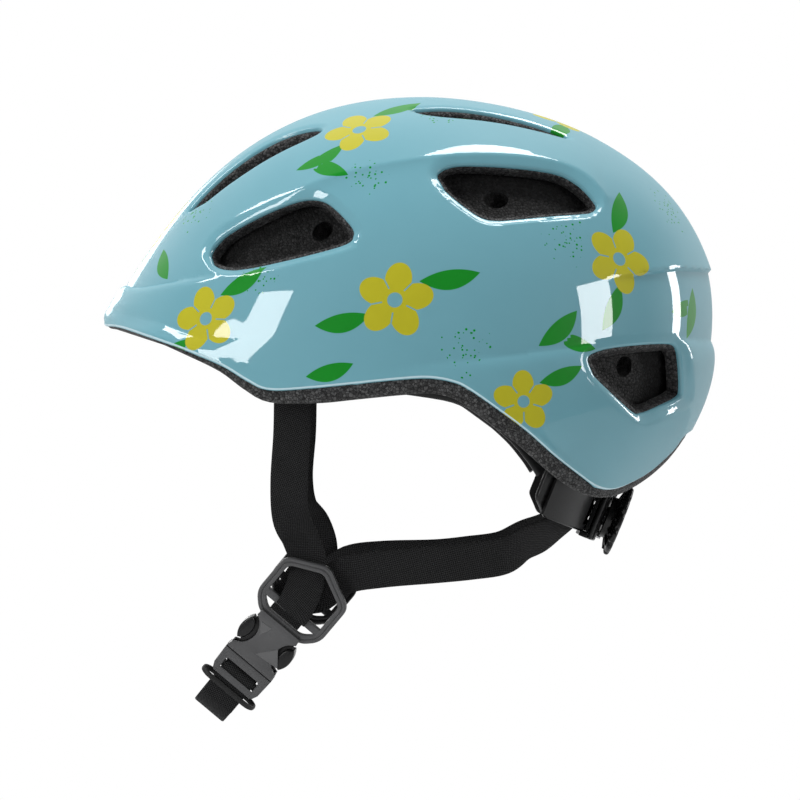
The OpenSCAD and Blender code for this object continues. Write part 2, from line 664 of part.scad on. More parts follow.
// Spring leaf round the hub, its tip resting in the click notches
spring_r = hub_r + 0.7;
module click_spring() {
  color(steel_color) at_nape() rotate([-90, 0, 0])
    translate([0, 0, cover_out + 0.25]) {
      rotate([0, 0, 100]) rotate_extrude(angle = 160) translate([spring_r, 0])
        square([0.5, 1.6]);
      rotate([0, 0, 100]) translate([spring_r - 0.2, 0, 0])
        cylinder(h = 1.6, r = 0.45, $fn = 20);
      rotate([0, 0, 260]) translate([spring_r + 1, 0, 0])
        cylinder(h = 1.6, r = 1.2, $fn = 20);
    }
}

// Nape pad: a cushion on the inside of the cradle plate
function nape_grid(face, n, m) = [for (i = [0 : n]) [for (j = [0 : m])
  let (u = i / n, v = j / m, a = 15.5 * (2 * u - 1), z = 15 * (v - 0.5) + 0.5,
    r = cradle_r - 0.5 - (face ? 1.2 + (pad_t - 2.2) * puff(u, v) : 0))
  [r * sin(a), r * cos(a), z]]];
module nape_pad() {
  color(pad_color) at_nape() slab(nape_grid(false, 8, 4), nape_grid(true, 8, 4));
}

// Webbing of one side, from the foam to the strap ring
ring_back = ring_t / 2 + web_t / 2 + free_gap;
function chin_world(p) = [p[0],
  chin_y - p[1] * sin(chin_turn) + p[2] * cos(chin_turn),
  chin_z - p[1] * cos(chin_turn) - p[2] * sin(chin_turn)];
function ring_world(depth, u, v, rise) = chin_world([
  chin_x + depth * cos(buckle_lean) - u * sin(buckle_lean),
  u * cos(buckle_lean) + depth * sin(buckle_lean) - rise, v]);
ring_back_rear = ring_back + web_t + 0.8;
out_x = [1, 0, 0];
// A route lists the middle of the webbing and the way its face looks
function ring_stop(depth, u, v, rise) = concat(ring_world(-depth, u, v, rise),
  [cos(buckle_lean), 0, 0]
    + sin(buckle_lean) * [0, -sin(chin_turn), -cos(chin_turn)]);
function nape_stop(a, z) = let (r = cradle_r - free_gap - web_t / 2)
  concat([r * sin(a), dial_y + r * cos(a) * cos(dial_tilt) + z * sin(dial_tilt),
    dial_z - r * cos(a) * sin(dial_tilt) + z * cos(dial_tilt)],
    [sin(a), cos(a) * cos(dial_tilt), -cos(a) * sin(dial_tilt)]);
function front_route(rise) = [
  concat(strap_exit + [0, 0, slot_depth - 0.5], out_x), concat(strap_exit, out_x),
  concat([66.8, -57.3, -14], out_x), concat([62.5, -58.5, -32], out_x),
  concat([54, -58, -46.5] + [0, 0.3, 0.4] * rise, out_x),
  ring_stop(ring_back + 0.5, -18, -16, rise), ring_stop(ring_back + 0.1, -12, -7, rise),
  ring_stop(ring_back, -5, -2.5, rise),
  ring_stop(ring_back, ring_bar_u - 1.6, 0, rise)];
function rear_route(rise) = [
  ring_stop(ring_back_rear, ring_bar_u - 1.6, 0, rise),
  ring_stop(ring_back_rear, -5, 1.5, rise),
  concat([43.6, -37, -70.2] + [0, 0.3, 0.5] * rise, out_x),
  concat([47, -22, -67.4] + [0, 0.1, 0.3] * rise, out_x),
  concat([51, 0, -65.4], out_x), concat([51.6, 14, -64], out_x),
  concat([49.4, 27, -62], unit([0.86, 0.5, -0.1])), nape_stop(44, -21.5),
  nape_stop(36, -16), nape_stop(28, -9), nape_stop(rivet_a, rivet_z),
  nape_stop(18.5, -2.6)];
module webbing(stops, hole) {
  route = curve(stops, 3);
  color(web_color) difference() {
    ribbon([for (p = route) [p[0], p[1], p[2]]],
      [for (p = route) unit([p[3], p[4], p[5]])], web_w, web_t);
    if (hole) at_nape() at_rivet(1) cylinder(h = 10, r = rivet_r + run_gap);
  }
}
// Frame of a strap rivet, its Z axis pointing out through the cradle plate
module at_rivet(side) {
  rotate([0, 0, -side * rivet_a]) translate([0, cradle_r - 5, rivet_z])
    rotate([-90, 0, 0]) children();
}
module strap_front_left() { webbing(front_route(0), false); }
module strap_rear_left() { webbing(rear_route(0), true); }
module strap_front_right() {
  mirror([1, 0, 0]) webbing(front_route(divider_rise), false);
}
module strap_rear_right() {
  mirror([1, 0, 0]) webbing(rear_route(divider_rise), true);
}

module strap_anchors() {
  color(plastic_color) both_sides()
    translate(strap_exit + [-anchor_t / 2, -anchor_l / 2, slot_depth])
      cube([anchor_t, anchor_l, anchor_h]);
}
module strap_rivets() {
  color(plastic_color) at_nape() for (side = [-1, 1]) at_rivet(side) {
    cylinder(h = cradle_t + 4.8, r = rivet_r);
    translate([0, 0, 5 - 2 * free_gap - web_t - 1]) cylinder(h = 1, r = 2.6);
  }
}

// Frame of the chin: Y runs down along the strap, Z across the webbing
module at_chin() {
  translate([0, chin_y, chin_z]) rotate([270 - chin_turn, 0, 0]) children();
}
// Frame of the buckle: X out of the cheek, Y towards the plug, Z across
module at_buckle() {
  at_chin() translate([chin_x, 0, 0]) rotate([0, 0, buckle_lean]) children();
}
module at_divider() {
  at_chin() translate([-chin_x, -divider_rise, 0]) rotate([0, 0, -buckle_lean])
    children();
}
// Flat piece from an outline [u, v], centred on the buckle plane
module plate(points, t) {
  translate([-t / 2, 0, 0]) rotate([90, 0, 90]) linear_extrude(t) polygon(points);
}

// Five cornered strap ring; g moves its outline inwards
ring_bar_u = 6;
ring_apex = 18;
ring_end = 14.5;
function ring_points(g) = [[-ring_apex + 1.15 * g, 0],
  [-9.5 + 0.5 * g, -ring_half_w + g], [8.4 - 0.3 * g, -ring_half_w + g],
  [ring_end - g, -10.5 + 0.6 * g], [ring_end - g, 10.5 - 0.6 * g],
  [8.4 - 0.3 * g, ring_half_w - g], [-9.5 + 0.5 * g, ring_half_w - g]];
module strap_ring() {
  difference() {
    plate(rounded(ring_points(0), 2.6), ring_t);
    difference() {
      plate(rounded(ring_points(ring_rim), 1.6), ring_t + 1);
      translate([-ring_t, ring_bar_u - 1.6, -ring_half_w])
        cube([2 * ring_t, 3.2, 2 * ring_half_w]);
    }
    for (side = [-1, 1]) translate([side * ring_t / 2, 0, 0]) difference() {
      plate(rounded(ring_points(ring_rim * 0.42), 2), 1);
      plate(rounded(ring_points(ring_rim * 0.6), 2), 2);
      translate([-1, ring_bar_u + 3, -20]) cube([2, 20, 40]);
    }
  }
}

body_start = ring_end - 2;
body_end = 33;
wing_u = 22.5;
wing_v = 9.2;
wing_l = 7;
inner_t = buckle_t - 3.2;
wing_notch_v = 5.3;
module buckle_socket() {
  color(buckle_color) at_buckle() {
    difference() {
      union() {
        strap_ring();
        plate(rounded([[body_start, -9.6], [wing_u, -buckle_half_w + 0.6],
          [body_end, -buckle_half_w], [body_end, buckle_half_w],
          [wing_u, buckle_half_w - 0.6], [body_start, 9.6]], 1.2), buckle_t);
      }
      translate([-inner_t / 2, body_start + 3.4, -buckle_half_w + 1.2])
        cube([inner_t, 30, 2 * buckle_half_w - 2.4]);
      for (side = [-1, 1]) translate([-buckle_t, wing_u, side * (wing_notch_v + 7.9)])
        rotate([0, 90, 0]) cylinder(h = 2 * buckle_t, r = 7.9);
    }
  }
}

plug_start = body_end + 0.3;
plug_end = 44.4;
plug_bar_u = 40.4;
plug_bar_h = 2.6;
plug_bar_w = 2.8;
plug_slot = 36.9;
prong_u = plug_start + 1.5;
prong_v = 7;
prong_root_r = 1.3;
// How far the middle of a wing comes in when it is squeezed
wing_swing = 1.8;
module buckle_plug() {
  color(buckle_color) at_buckle() difference() {
    union() {
      plate(rounded([[plug_start, -buckle_half_w], [plug_start, buckle_half_w],
        [plug_end - 3, buckle_half_w - 0.4], [plug_end, buckle_half_w - 2.4],
        [plug_end, -buckle_half_w + 2.4], [plug_end - 3, -buckle_half_w + 0.4]], 1),
        buckle_t);
      plate([[body_start + 6, -1.4], [body_start + 6, 1.4], [plug_start + 1, 2.4],
        [plug_start + 1, -2.4]], inner_t - 2 * free_gap);
    }
    translate([-buckle_t, plug_slot, -web_w / 2 - 0.6])
      cube([2 * buckle_t, plug_end, web_w + 1.2]);
    for (side = [-1, 1]) {
      translate([-buckle_t, prong_u, side * prong_v]) rotate([0, 90, 0])
        cylinder(h = 2 * buckle_t, r = prong_root_r + 0.15);
      translate([-buckle_t, plug_start - 1, side * prong_v - prong_root_r - 0.15])
        cube([2 * buckle_t, prong_u - plug_start + 1, 2 * prong_root_r + 0.3]);
    }
  }
  color(buckle_color) at_buckle()
    translate([-plug_bar_h / 2, plug_bar_u - plug_bar_w / 2, -web_w / 2 - 1])
      cube([plug_bar_h, plug_bar_w, web_w + 2]);
}

// One sprung arm of the plug, with its thumb wing
module prong(side) {
  color(buckle_color) at_buckle() {
    translate([-buckle_t / 2, prong_u, side * prong_v]) rotate([0, 90, 0])
      cylinder(h = buckle_t, r = prong_root_r);
    plate([[prong_u, side * (prong_v - 1)], [prong_u, side * (prong_v + 1)],
      [wing_u, side * (wing_v + 1.6)], [wing_u - wing_l + 1, side * (wing_v + 0.4)],
      [wing_u - wing_l + 1.6, side * (wing_v - 1.2)], [wing_u, side * (wing_v - 1.4)]],
      inner_t - 2 * free_gap);
    intersection() {
      translate([-buckle_t / 2 + 0.3, wing_u, side * (buckle_half_w + 0.4 - wing_l)])
        rotate([0, 90, 0]) cylinder(h = buckle_t - 0.6, r = wing_l);
      translate([-buckle_t, wing_u, side * (wing_notch_v + wing_swing + 7.4)])
        rotate([0, 90, 0]) cylinder(h = 2 * buckle_t, r = 7.4);
    }
  }
}
module prong_front() { prong(-1); }
module prong_rear() { prong(1); }

module chin_divider() {
  color(plastic_color) at_divider() strap_ring();
}

// Chin strap: tail, turn round the plug bar, then under the chin to the far ring
lap = norm([plug_bar_h, plug_bar_w]) / 2 + web_t / 2 + skin_gap;
tail_end = 54;
function on_buckle(p, u) = [chin_x + p * cos(buckle_lean) - u * sin(buckle_lean),
  u * cos(buckle_lean) + p * sin(buckle_lean)];
function on_divider(p, u) = let (q = on_buckle(p, u)) [-q[0], q[1] - divider_rise];
chin_route = concat(
  [for (u = [tail_end, 48, 42]) on_buckle(lap, u)],
  [for (a = [0 : 30 : 180]) on_buckle(lap * cos(a), plug_bar_u - lap * sin(a))],
  [on_buckle(-lap, 45)],
  curve([on_buckle(-lap, 51.5), [24, 57], [8, 59.4], [-10, 58], [-26, 51.5],
    [-37, 36], on_divider(-ring_back, 16), on_divider(-ring_back, ring_bar_u + 1.6)],
    4));
module strip_outline(path, t) {
  last = len(path) - 1;
  side = [for (i = [0 : last])
    let (d = unit(path[min(i + 1, last)] - path[max(i - 1, 0)])) [-d[1], d[0]] * t / 2];
  polygon(concat([for (i = [0 : last]) path[i] + side[i]],
    [for (i = [last : -1 : 0]) path[i] - side[i]]));
}
module chin_strap() {
  color(web_color) at_chin() linear_extrude(web_w, center = true)
    strip_outline(chin_route, web_t);
}

// Rubber loop that holds the tail of the strap against the chin strap
keeper_u = 47;
keeper_half_w = web_w / 2 + 0.8;
keeper_half_d = lap + web_t / 2 + 0.4 + keeper_d / 2;
module keeper_ring() {
  color(plastic_color) at_buckle() translate([0, keeper_u, 0]) rotate([-90, 0, 0])
    for (side = [-1, 1]) {
      translate([side * keeper_half_d, 0, 0]) rotate([90, 0, 0])
        cylinder(h = 2 * keeper_half_w, d = keeper_d, center = true);
      translate([0, side * keeper_half_w, 0]) rotate([0, 0, side > 0 ? 0 : 180])
        rotate_extrude(angle = 180, $fn = 32) translate([keeper_half_d, 0])
          circle(d = keeper_d, $fn = 16);
    }
}

outer_shell();
foam_liner();
front_pad();
crown_pad();
left_pad();
right_pad();
nape_pad();
hook_dots();
head_band();
band_pins();
rear_cradle();
cradle_pin();
dial_cover();
rack_left();
rack_right();
drive_pinion();
dial_knob();
dial_screw();
click_spring();
strap_front_left();
strap_front_right();
strap_rear_left();
strap_rear_right();
strap_anchors();
strap_rivets();
chin_strap();
buckle_socket();
buckle_plug();
prong_front();
prong_rear();
chin_divider();
keeper_ring();
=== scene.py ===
# %% [markdown]
# # A child's bicycle helmet
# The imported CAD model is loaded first. It gives the true size and place of every
# piece, so whatever is built here has to sit where it says. All lengths that are
# typed in are millimetres, and each finished mesh is scaled down to metres once.

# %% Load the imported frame
import math

import bmesh
import bpy
import numpy as np
from mathutils import Matrix, Vector


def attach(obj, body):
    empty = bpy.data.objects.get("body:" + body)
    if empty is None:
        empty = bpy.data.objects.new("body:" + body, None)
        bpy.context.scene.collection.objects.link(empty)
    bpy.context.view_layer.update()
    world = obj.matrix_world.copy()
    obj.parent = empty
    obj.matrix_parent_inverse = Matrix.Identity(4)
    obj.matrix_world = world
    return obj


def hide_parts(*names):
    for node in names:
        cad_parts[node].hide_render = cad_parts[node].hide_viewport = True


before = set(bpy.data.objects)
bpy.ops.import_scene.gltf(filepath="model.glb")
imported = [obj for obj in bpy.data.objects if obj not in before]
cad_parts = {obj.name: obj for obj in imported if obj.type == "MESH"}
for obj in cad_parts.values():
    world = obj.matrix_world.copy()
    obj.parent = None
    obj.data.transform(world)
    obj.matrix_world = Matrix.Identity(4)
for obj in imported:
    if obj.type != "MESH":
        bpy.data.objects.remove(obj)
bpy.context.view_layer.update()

MM = 0.001

# %% [markdown]
# ## The camera
# A product photograph of this kind is shot level, square to the side and from well
# back, so that the outline is hardly stretched. A long lens from 2.2 m does the same.
# It is made before anything else.

# %% Camera square to the left side
SENSOR_MM, CAMERA_FAR_MM, SHOWN_MM = 36, 2200, 325.6
camera_data = bpy.data.cameras.new("side_camera")
camera_data.sensor_width = SENSOR_MM
camera_data.lens = SENSOR_MM * CAMERA_FAR_MM / SHOWN_MM
camera_data.clip_end = 20
camera = bpy.data.objects.new("side_camera", camera_data)
bpy.context.collection.objects.link(camera)
camera.location = (CAMERA_FAR_MM * MM, -0.01465, 0)
camera.rotation_euler = (math.radians(90), 0, math.radians(90))
bpy.context.scene.camera = camera
bpy.context.scene.view_settings.view_transform = "Standard"
print("lens", round(camera_data.lens, 1), "mm")

# %% [markdown]
# ## Writing shaders as sums
# A material is easier to read as an expression than as a list of links. Signal wraps
# one socket of a node, and its operators add the Math nodes. Any other node comes from
# one method, and the sky of the studio is built with it as well.


# %% A socket that can be added and multiplied
class Signal:
    """One output socket. Arithmetic on it adds Math nodes to the same tree."""

    def __init__(self, nodes, socket):
        self.nodes, self.socket = nodes, socket

    def _math(self, operation, *terms):
        return self.nodes.node(
            "ShaderNodeMath", {"operation": operation}, dict(enumerate(terms)))

    def __add__(self, other):
        return self._math("ADD", self, other)

    def __sub__(self, other):
        return self._math("SUBTRACT", self, other)

    def __rsub__(self, other):
        return self._math("SUBTRACT", other, self)

    def __mul__(self, other):
        return self._math("MULTIPLY", self, other)

    def __truediv__(self, other):
        return self._math("DIVIDE", self, other)

    def __pow__(self, other):
        return self._math("POWER", self, other)

    def __gt__(self, other):
        return self._math("GREATER_THAN", self, other)

    def __abs__(self):
        return self._math("ABSOLUTE", self)

    __radd__, __rmul__ = __add__, __mul__

    def cosine(self):
        return self._math("COSINE", self)

    def sine(self):
        return self._math("SINE", self)

    def angle_over(self, other):
        return self._math("ARCTAN2", self, other)

    def most(self, other):
        return self._math("MAXIMUM", self, other)

    def ramp(self, low, high):
        """0 below low, 1 above high and smooth between."""
        return self.nodes.node("ShaderNodeMapRange", {"interpolation_type": "SMOOTHSTEP"},
                               {"Value": self, "From Min": low, "From Max": high})


class Nodes:
    """Fills one node tree."""

    def __init__(self, tree):
        self.tree = tree
        tree.nodes.clear()

    def plug(self, socket, value):
        if isinstance(value, Signal):
            self.tree.links.new(value.socket, socket)
        elif isinstance(value, tuple) and socket.type == "RGBA":
            socket.default_value = (*value, 1)
        else:
            socket.default_value = value

    def node(self, kind, settings=None, values=None, take=0):
        """Adds a node with its settings and inputs, and takes one of its outputs."""
        made = self.tree.nodes.new(kind)
        for key, value in (settings or {}).items():
            setattr(made, key, value)
        for key, value in (values or {}).items():
            self.plug(made.inputs[key], value)
        return Signal(self, made.outputs[take])

    def split(self, vector):
        made = self.node("ShaderNodeSeparateXYZ", {}, {0: vector}).socket.node
        return [Signal(self, output) for output in made.outputs]

    def end(self, kind, surface):
        out = self.tree.nodes.new(kind)
        self.plug(out.inputs["Surface"], surface)


class Finish(Nodes):
    """A material with one Principled shader."""

    def __init__(self, name):
        self.material = bpy.data.materials.new(name)
        self.material.use_nodes = True
        super().__init__(self.material.node_tree)
        self.shader = self.tree.nodes.new("ShaderNodeBsdfPrincipled")
        self.end("ShaderNodeOutputMaterial", Signal(self, self.shader.outputs[0]))

    def set(self, **values):
        for key, value in values.items():
            name = key.replace("_", " ").title().replace("Ior", "IOR")
            self.plug(self.shader.inputs[name], value)

    def place(self):
        """Where a point is on the object, in metres."""
        return self.node("ShaderNodeTexCoord", take="Object")

    def noise(self, where, scale, detail=2.0, roughness=0.5):
        return self.node("ShaderNodeTexNoise", {}, {
            "Vector": where, "Scale": scale, "Detail": detail, "Roughness": roughness})

    def cells(self, where, scale, feature="F1", take=0, **values):
        values |= {"Vector": where, "Scale": scale}
        return self.node("ShaderNodeTexVoronoi", {"feature": feature}, values, take)

    def attribute(self, name, take):
        return self.node("ShaderNodeAttribute", {"attribute_name": name}, take=take)

    def mix(self, share, first, second):
        return self.node("ShaderNodeMix", {"data_type": "RGBA", "clamp_factor": True},
                         {0: share, 6: first, 7: second}, take=2)

    def bump(self, height, distance, strength):
        self.set(normal=self.node("ShaderNodeBump", {}, {
            "Height": height, "Distance": distance, "Strength": strength}))


print("shader helper ready")

# %% [markdown]
# ## Floor, world and lamps
# The glossy skin is a mirror for the room, so the room is kept plain: a pale floor,
# a white surround, and a few soft boxes. The surround is white to the camera and to
# reflections, and dimmer as a lamp. Behind the camera the room is dim in reflections
# too, as a studio is, so that the printed colours stay deep. A card is a box that
# shows in the gloss only: it puts a bright window on the skin and adds no other light.


# %% World and soft boxes
def studio_world(glow, room):
    """The white surround: glow is its strength as a lamp, room its dim side."""
    world = bpy.data.worlds.new("studio_world")
    bpy.context.scene.world = world
    world.use_nodes = True
    sky = Nodes(world.node_tree)
    by_camera, in_gloss, through_glass = (
        sky.node("ShaderNodeLightPath", take=f"Is {ray} Ray")
        for ray in ("Camera", "Glossy", "Transmission"))
    seen = by_camera.most(through_glass)
    toward = sky.split(sky.node("ShaderNodeTexCoord", take="Generated"))[0]
    level = sky.node("ShaderNodeMapRange", {}, {
        "Value": toward, "From Min": -0.65, "From Max": 0.1, "To Min": 1, "To Max": room})
    lamp, white = (
        sky.node("ShaderNodeBackground", {}, {"Color": colour, "Strength": strength})
        for colour, strength in (((0.97, 0.985, 1), glow), ((1, 1, 1), level.most(seen))))
    both = sky.node("ShaderNodeMixShader", {}, {0: seen.most(in_gloss), 1: lamp, 2: white})
    sky.end("ShaderNodeOutputWorld", both)


def soft_box(name, place, aim, width, height, watts, card=False):
    """A rectangular lamp at place, turned to face aim; all in metres."""
    data = bpy.data.lights.new(name, "AREA")
    data.shape = "RECTANGLE"
    data.size, data.size_y, data.energy = width, height, watts
    lamp = bpy.data.objects.new(name, data)
    bpy.context.collection.objects.link(lamp)
    lamp.location = place
    lamp.rotation_euler = (Vector(place) - Vector(aim)).to_track_quat("Z", "Y").to_euler()
    lamp.visible_diffuse = not card


studio_world(0.43, 0.12)
soft_box("box_over", (-0.16, 0.34, 1.62), (0.055, 0.02, 0.09), 0.6, 0.8, 19)
soft_box("box_brow", (0.14, -1.15, 1.2), (0.06, -0.07, 0.07), 0.5, 0.2, 5)
soft_box("box_front", (0.95, -1.18, 0.47), (0.08, -0.065, 0.03), 0.28, 0.62, 7)
soft_box("box_rear", (0.83, 1.33, 0.44), (0.078, 0.065, 0.035), 0.42, 0.58, 11, card=True)
soft_box("box_nape", (-0.5, 1.55, 0.3), (0.03, 0.1, 0.03), 0.2, 0.6, 5, card=True)
soft_box("box_brim", (-1.33, -0.62, 0.34), (0.01, -0.13, 0.045), 0.5, 0.26, 2.6, card=True)

# %% [markdown]
# The floor is a plain disc well below the helmet. It isn't a piece of the object,
# and a faint mottle keeps it from looking like paper.

# %% Floor
FLOOR_RADIUS, FLOOR_Z = 1.6, -0.32
floor_mesh = bmesh.new()
bmesh.ops.create_circle(floor_mesh, cap_ends=True, segments=96, radius=FLOOR_RADIUS)
bmesh.ops.translate(floor_mesh, verts=floor_mesh.verts, vec=(0, 0, FLOOR_Z))
floor_data = bpy.data.meshes.new("floor")
floor_mesh.to_mesh(floor_data)
floor_mesh.free()
floor = bpy.data.objects.new("floor", floor_data)
bpy.context.collection.objects.link(floor)
floor_paint = Finish("floor_paint")
mottle = floor_paint.noise(floor_paint.place(), 3.0)
floor_paint.set(base_color=floor_paint.mix(mottle, (0.80, 0.80, 0.80), (0.83, 0.83, 0.83)),
                roughness=0.9)
floor_data.materials.append(floor_paint.material)
print("floor at", FLOOR_Z, "m")

# %% [markdown]
# ## From a bmesh to a piece of the helmet
# Every piece ends the same way: it is scaled to metres, it gets its finish, and it rides
# on a body of the frame. Whatever makes a closed shape has put its normals right before.


# %% Finishing a piece
def vertex_rows(mesh):
    """The places of a mesh's vertices, as an array of three columns."""
    rows = np.empty(len(mesh.vertices) * 3)
    mesh.vertices.foreach_get("co", rows)
    return rows.reshape(-1, 3)


def finish_piece(name, shape, body, finish, stands_for=(), angle=None):
    """Makes the object; edges sharper than angle degrees are shaded sharp."""
    bmesh.ops.scale(shape, verts=shape.verts, vec=(MM, MM, MM))
    mesh = bpy.data.meshes.new(name)
    shape.to_mesh(mesh)
    shape.free()
    mesh.polygons.foreach_set("use_smooth", [True] * len(mesh.polygons))
    if angle is not None:
        mesh.set_sharp_from_angle(angle=math.radians(angle))
    piece = bpy.data.objects.new(name, mesh)
    bpy.context.collection.objects.link(piece)
    mesh.materials.append(finish.material)
    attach(piece, body)
    if stands_for:
        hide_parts(*stands_for)
    print(name, len(mesh.polygons), "faces")
    return piece


def soften_edges(shape, edges, width, segments):
    bmesh.ops.bevel(shape, geom=edges, offset=width, segments=segments, profile=0.5,
                    affect="EDGES", material=-1, clamp_overlap=True)


print("piece helper ready")

# %% [markdown]
# ## The surface of the skin
# The skin of the real helmet is one blown sheet, so its shape is a single smooth
# surface: meridians run from the crown to below the rim, and three of them, at the
# brim, the flank and the back, are blended into all the others. The same formula
# made the CAD shell.

# %% Meridians of the skin
SHELL_W, BRIM_REACH, REAR_REACH, CROWN_H = 190.0, 133.5, 111.5, 123.0
CROWN_Y, WIDE_Y, SKIN_FLOOR = -6.5, 8.0, -48.0
# Each at the brim, the flank and the back: the height of the widest place, how far the
# two handles of a meridian reach out and how high the lower one lies, and the turn in
WIDE_Z = (34, 5, 22)
HANDLE_OUT = (0.561, 0.58, 0.379)
HANDLE_IN = (0.802, 1.0, 1.086)
HANDLE_DROP = (0.469, 0.6, 0.766)
TUCK = (0.1, 0.07, 0.36)


def skin_base(turn, fall):
    """Points in mm: turn degrees round from the brim, fall from 0 at the crown to 2."""
    ahead, side = np.cos(np.radians(turn)), np.sin(np.radians(turn))
    shares = (np.maximum(ahead, 0) ** 2, side**2, np.maximum(-ahead, 0) ** 2)

    def blend(three):
        return sum(value * share for value, share in zip(three, shares))

    u, q = np.clip(fall, 0, 1), np.clip(fall - 1, 0, 1)
    out = 3 * (1 - u) ** 2 * u * blend(HANDLE_OUT) + 3 * (1 - u) * u * u * blend(HANDLE_IN)
    out = out + u**3 - blend(TUCK) * q * q
    drop = (1 - u) ** 3 + 3 * (1 - u) ** 2 * u + 3 * (1 - u) * u * u * blend(HANDLE_DROP)
    rim_y = WIDE_Y - np.where(ahead > 0, BRIM_REACH + WIDE_Y, REAR_REACH - WIDE_Y) * ahead
    wide_z = blend(WIDE_Z)
    return np.stack([
        SHELL_W / 2 * side * out,
        CROWN_Y + (rim_y - CROWN_Y) * out,
        wide_z + (CROWN_H - wide_z) * drop - (wide_z - SKIN_FLOOR) * q,
    ], -1)


def unit_rows(rows):
    """The rows as vectors of length 1."""
    return rows / np.maximum(np.linalg.norm(rows, axis=-1, keepdims=True), 1e-12)


def skin_normal(turn, fall):
    near = np.clip(fall, 0.04, 1.96)
    down = skin_base(turn, near + 0.01) - skin_base(turn, near - 0.01)
    around = skin_base(turn + 0.5, near) - skin_base(turn - 0.5, near)
    return unit_rows(np.cross(down, around))


print("widest place of the skin", skin_base(np.array([90.0]), np.array([1.0])).round(1))

# %% [markdown]
# ## Lines of the skin
# The creases and the trimmed rim are drawn in side view, as height over length, and a
# smooth curve is laid through the few points of each.

# %% Lines in side view
RIDGE = [(-62, 79), (-52, 83.5), (-42, 87.2), (-32, 90), (-15, 93.3), (2, 95.4), (20, 96.2),
         (39, 95), (52, 92), (60, 87.5), (67, 80)]
CREASE = [(-20, 12), (8, 15.3), (31, 18), (50, 20.4), (60, 21.9), (76, 24), (92, 25.2), (104, 24)]
BROW = [(-134, 46.5), (-127, 46.8), (-118.7, 45.2), (-98.1, 48.1), (-86.3, 50), (-78, 53)]
FOLD = [(-136, 37.5), (-120.3, 33.2), (-106.4, 29.4), (-96.9, 25.7), (-87.6, 24.4),
        (-72.4, 25.5), (-56, 28)]
REAR_STEP = [(70, 48.5), (77, 49.5), (88, 51.2), (97.5, 52.3), (112, 52.3)]
SKIN_RIM = [
    (-150, 31), (-130, 30.5), (-116, 26.5), (-99, 20.5), (-84.5, 14.5), (-74.5, 8.5),
    (-66, 4.8), (-50, 5.5), (-34.5, 7), (-14.5, 9), (-3, 9.5), (6.5, 7.8), (13, 4.6),
    (26, -4.6), (36, -12.2), (46, -21), (55, -28), (63, -33.4), (70, -34.8),
    (77.5, -32.5), (86, -28), (95, -20.5), (104, -12), (130, -8),
]
# How far the foam shows under the skin's rim, and what share of that at which length
RIM_BAND = 5.6
BAND_SHARE = [(-116, 0.15), (-99, 0.3), (-84, 0.45), (-66, 0.8), (-50, 1), (56, 1),
              (70, 0.55), (86, 0.35)]


def smooth_line(points, steps=6):
    """A smooth curve through the points of an open line, in steps between them."""
    p = np.array([points[0], *points, points[-1]], float)
    out = []
    for a, b, c, d in zip(p, p[1:], p[2:], p[3:]):
        for t in np.arange(steps) / steps:
            out.append(0.5 * (2 * b + (c - a) * t + (2 * a - 5 * b + 4 * c - d) * t**2
                              + (3 * b - a - 3 * c + d) * t**3))
    return np.array([*out, p[-1]])


def over_line(points, line):
    """Height of points above a side view line."""
    return points[..., 2] - np.interp(points[..., 1], line[:, 0], line[:, 1])


def fade(value, low, high):
    """0 below low, 1 above high and smooth between."""
    t = np.clip((value - low) / (high - low), 0, 1)
    return t * t * (3 - 2 * t)


ridge, crease, brow, fold, rear_step, skin_rim = map(
    smooth_line, (RIDGE, CREASE, BROW, FOLD, REAR_STEP, SKIN_RIM))
rim_way = unit_rows(np.gradient(np.array(SKIN_RIM, float), axis=0))
shown = np.interp([p[0] for p in SKIN_RIM], *zip(*BAND_SHARE))
foam_rim = smooth_line([(length + w[1] * RIM_BAND * s, height - w[0] * RIM_BAND * s)
                        for (length, height), w, s in zip(SKIN_RIM, rim_way, shown)])
print("rim of the foam, lowest at", foam_rim[:, 1].min().round(1))

# %% [markdown]
# ## Where the vents are
# A vent is drawn as its outline: the flank vents in side view, the roof vents from
# above. The distance to the outline, less than nothing inside it, tells every point
# of the skin which side it is on.

# %% Outlines of the vents
FRONT_VENT = [
    (-89.6, 57.5), (-88.2, 61), (-83.7, 65.5), (-75.7, 70.1), (-66.9, 74.3), (-57.8, 77.6),
    (-51.6, 79), (-46.4, 78.6), (-42.2, 76.4), (-37.2, 71.6), (-33.8, 67.2), (-33.5, 64.6),
    (-36.0, 61.6), (-50.0, 57.6), (-68.8, 53.4), (-78.8, 52), (-85.1, 52.5), (-88.6, 54.6),
]
UPPER_VENT = [
    (0.5, 87.9), (1.8, 90.2), (5.1, 91.8), (10.2, 92.6), (23.3, 92.4), (38.4, 91.2),
    (48.8, 89.3), (55.9, 85.4), (60.6, 80.6), (62.6, 77), (61.0, 74.9), (57.0, 74),
    (45.6, 73), (30.5, 71.4), (24.4, 70.9), (19.1, 71.4), (14.6, 73.6), (7.7, 78.8), (2.7, 83.6),
]
REAR_VENT = [
    (59.8, 15.2), (61.0, 17.8), (66.4, 20), (75.7, 21.4), (90.2, 22.3), (95.0, 21.2),
    (96.6, 16.7), (97.4, 4), (95.6, 0.4), (88.8, -2.8), (81.6, -5.4), (77.4, -4),
    (67.8, 4.4), (61.2, 11),
]
BROW_VENT = [
    (20.4, -99.4), (22.6, -98.4), (26.6, -94.6), (29.4, -91), (31.8, -83.7), (33.6, -76.4),
    (34.8, -68.7), (35.8, -61.4), (36.6, -54), (36.2, -48.4), (34.4, -46.6), (32, -47.8),
    (29.4, -51), (25.8, -57), (23, -63.6), (21.4, -71), (20.2, -80.4), (19.4, -89.5), (19.4, -96),
]
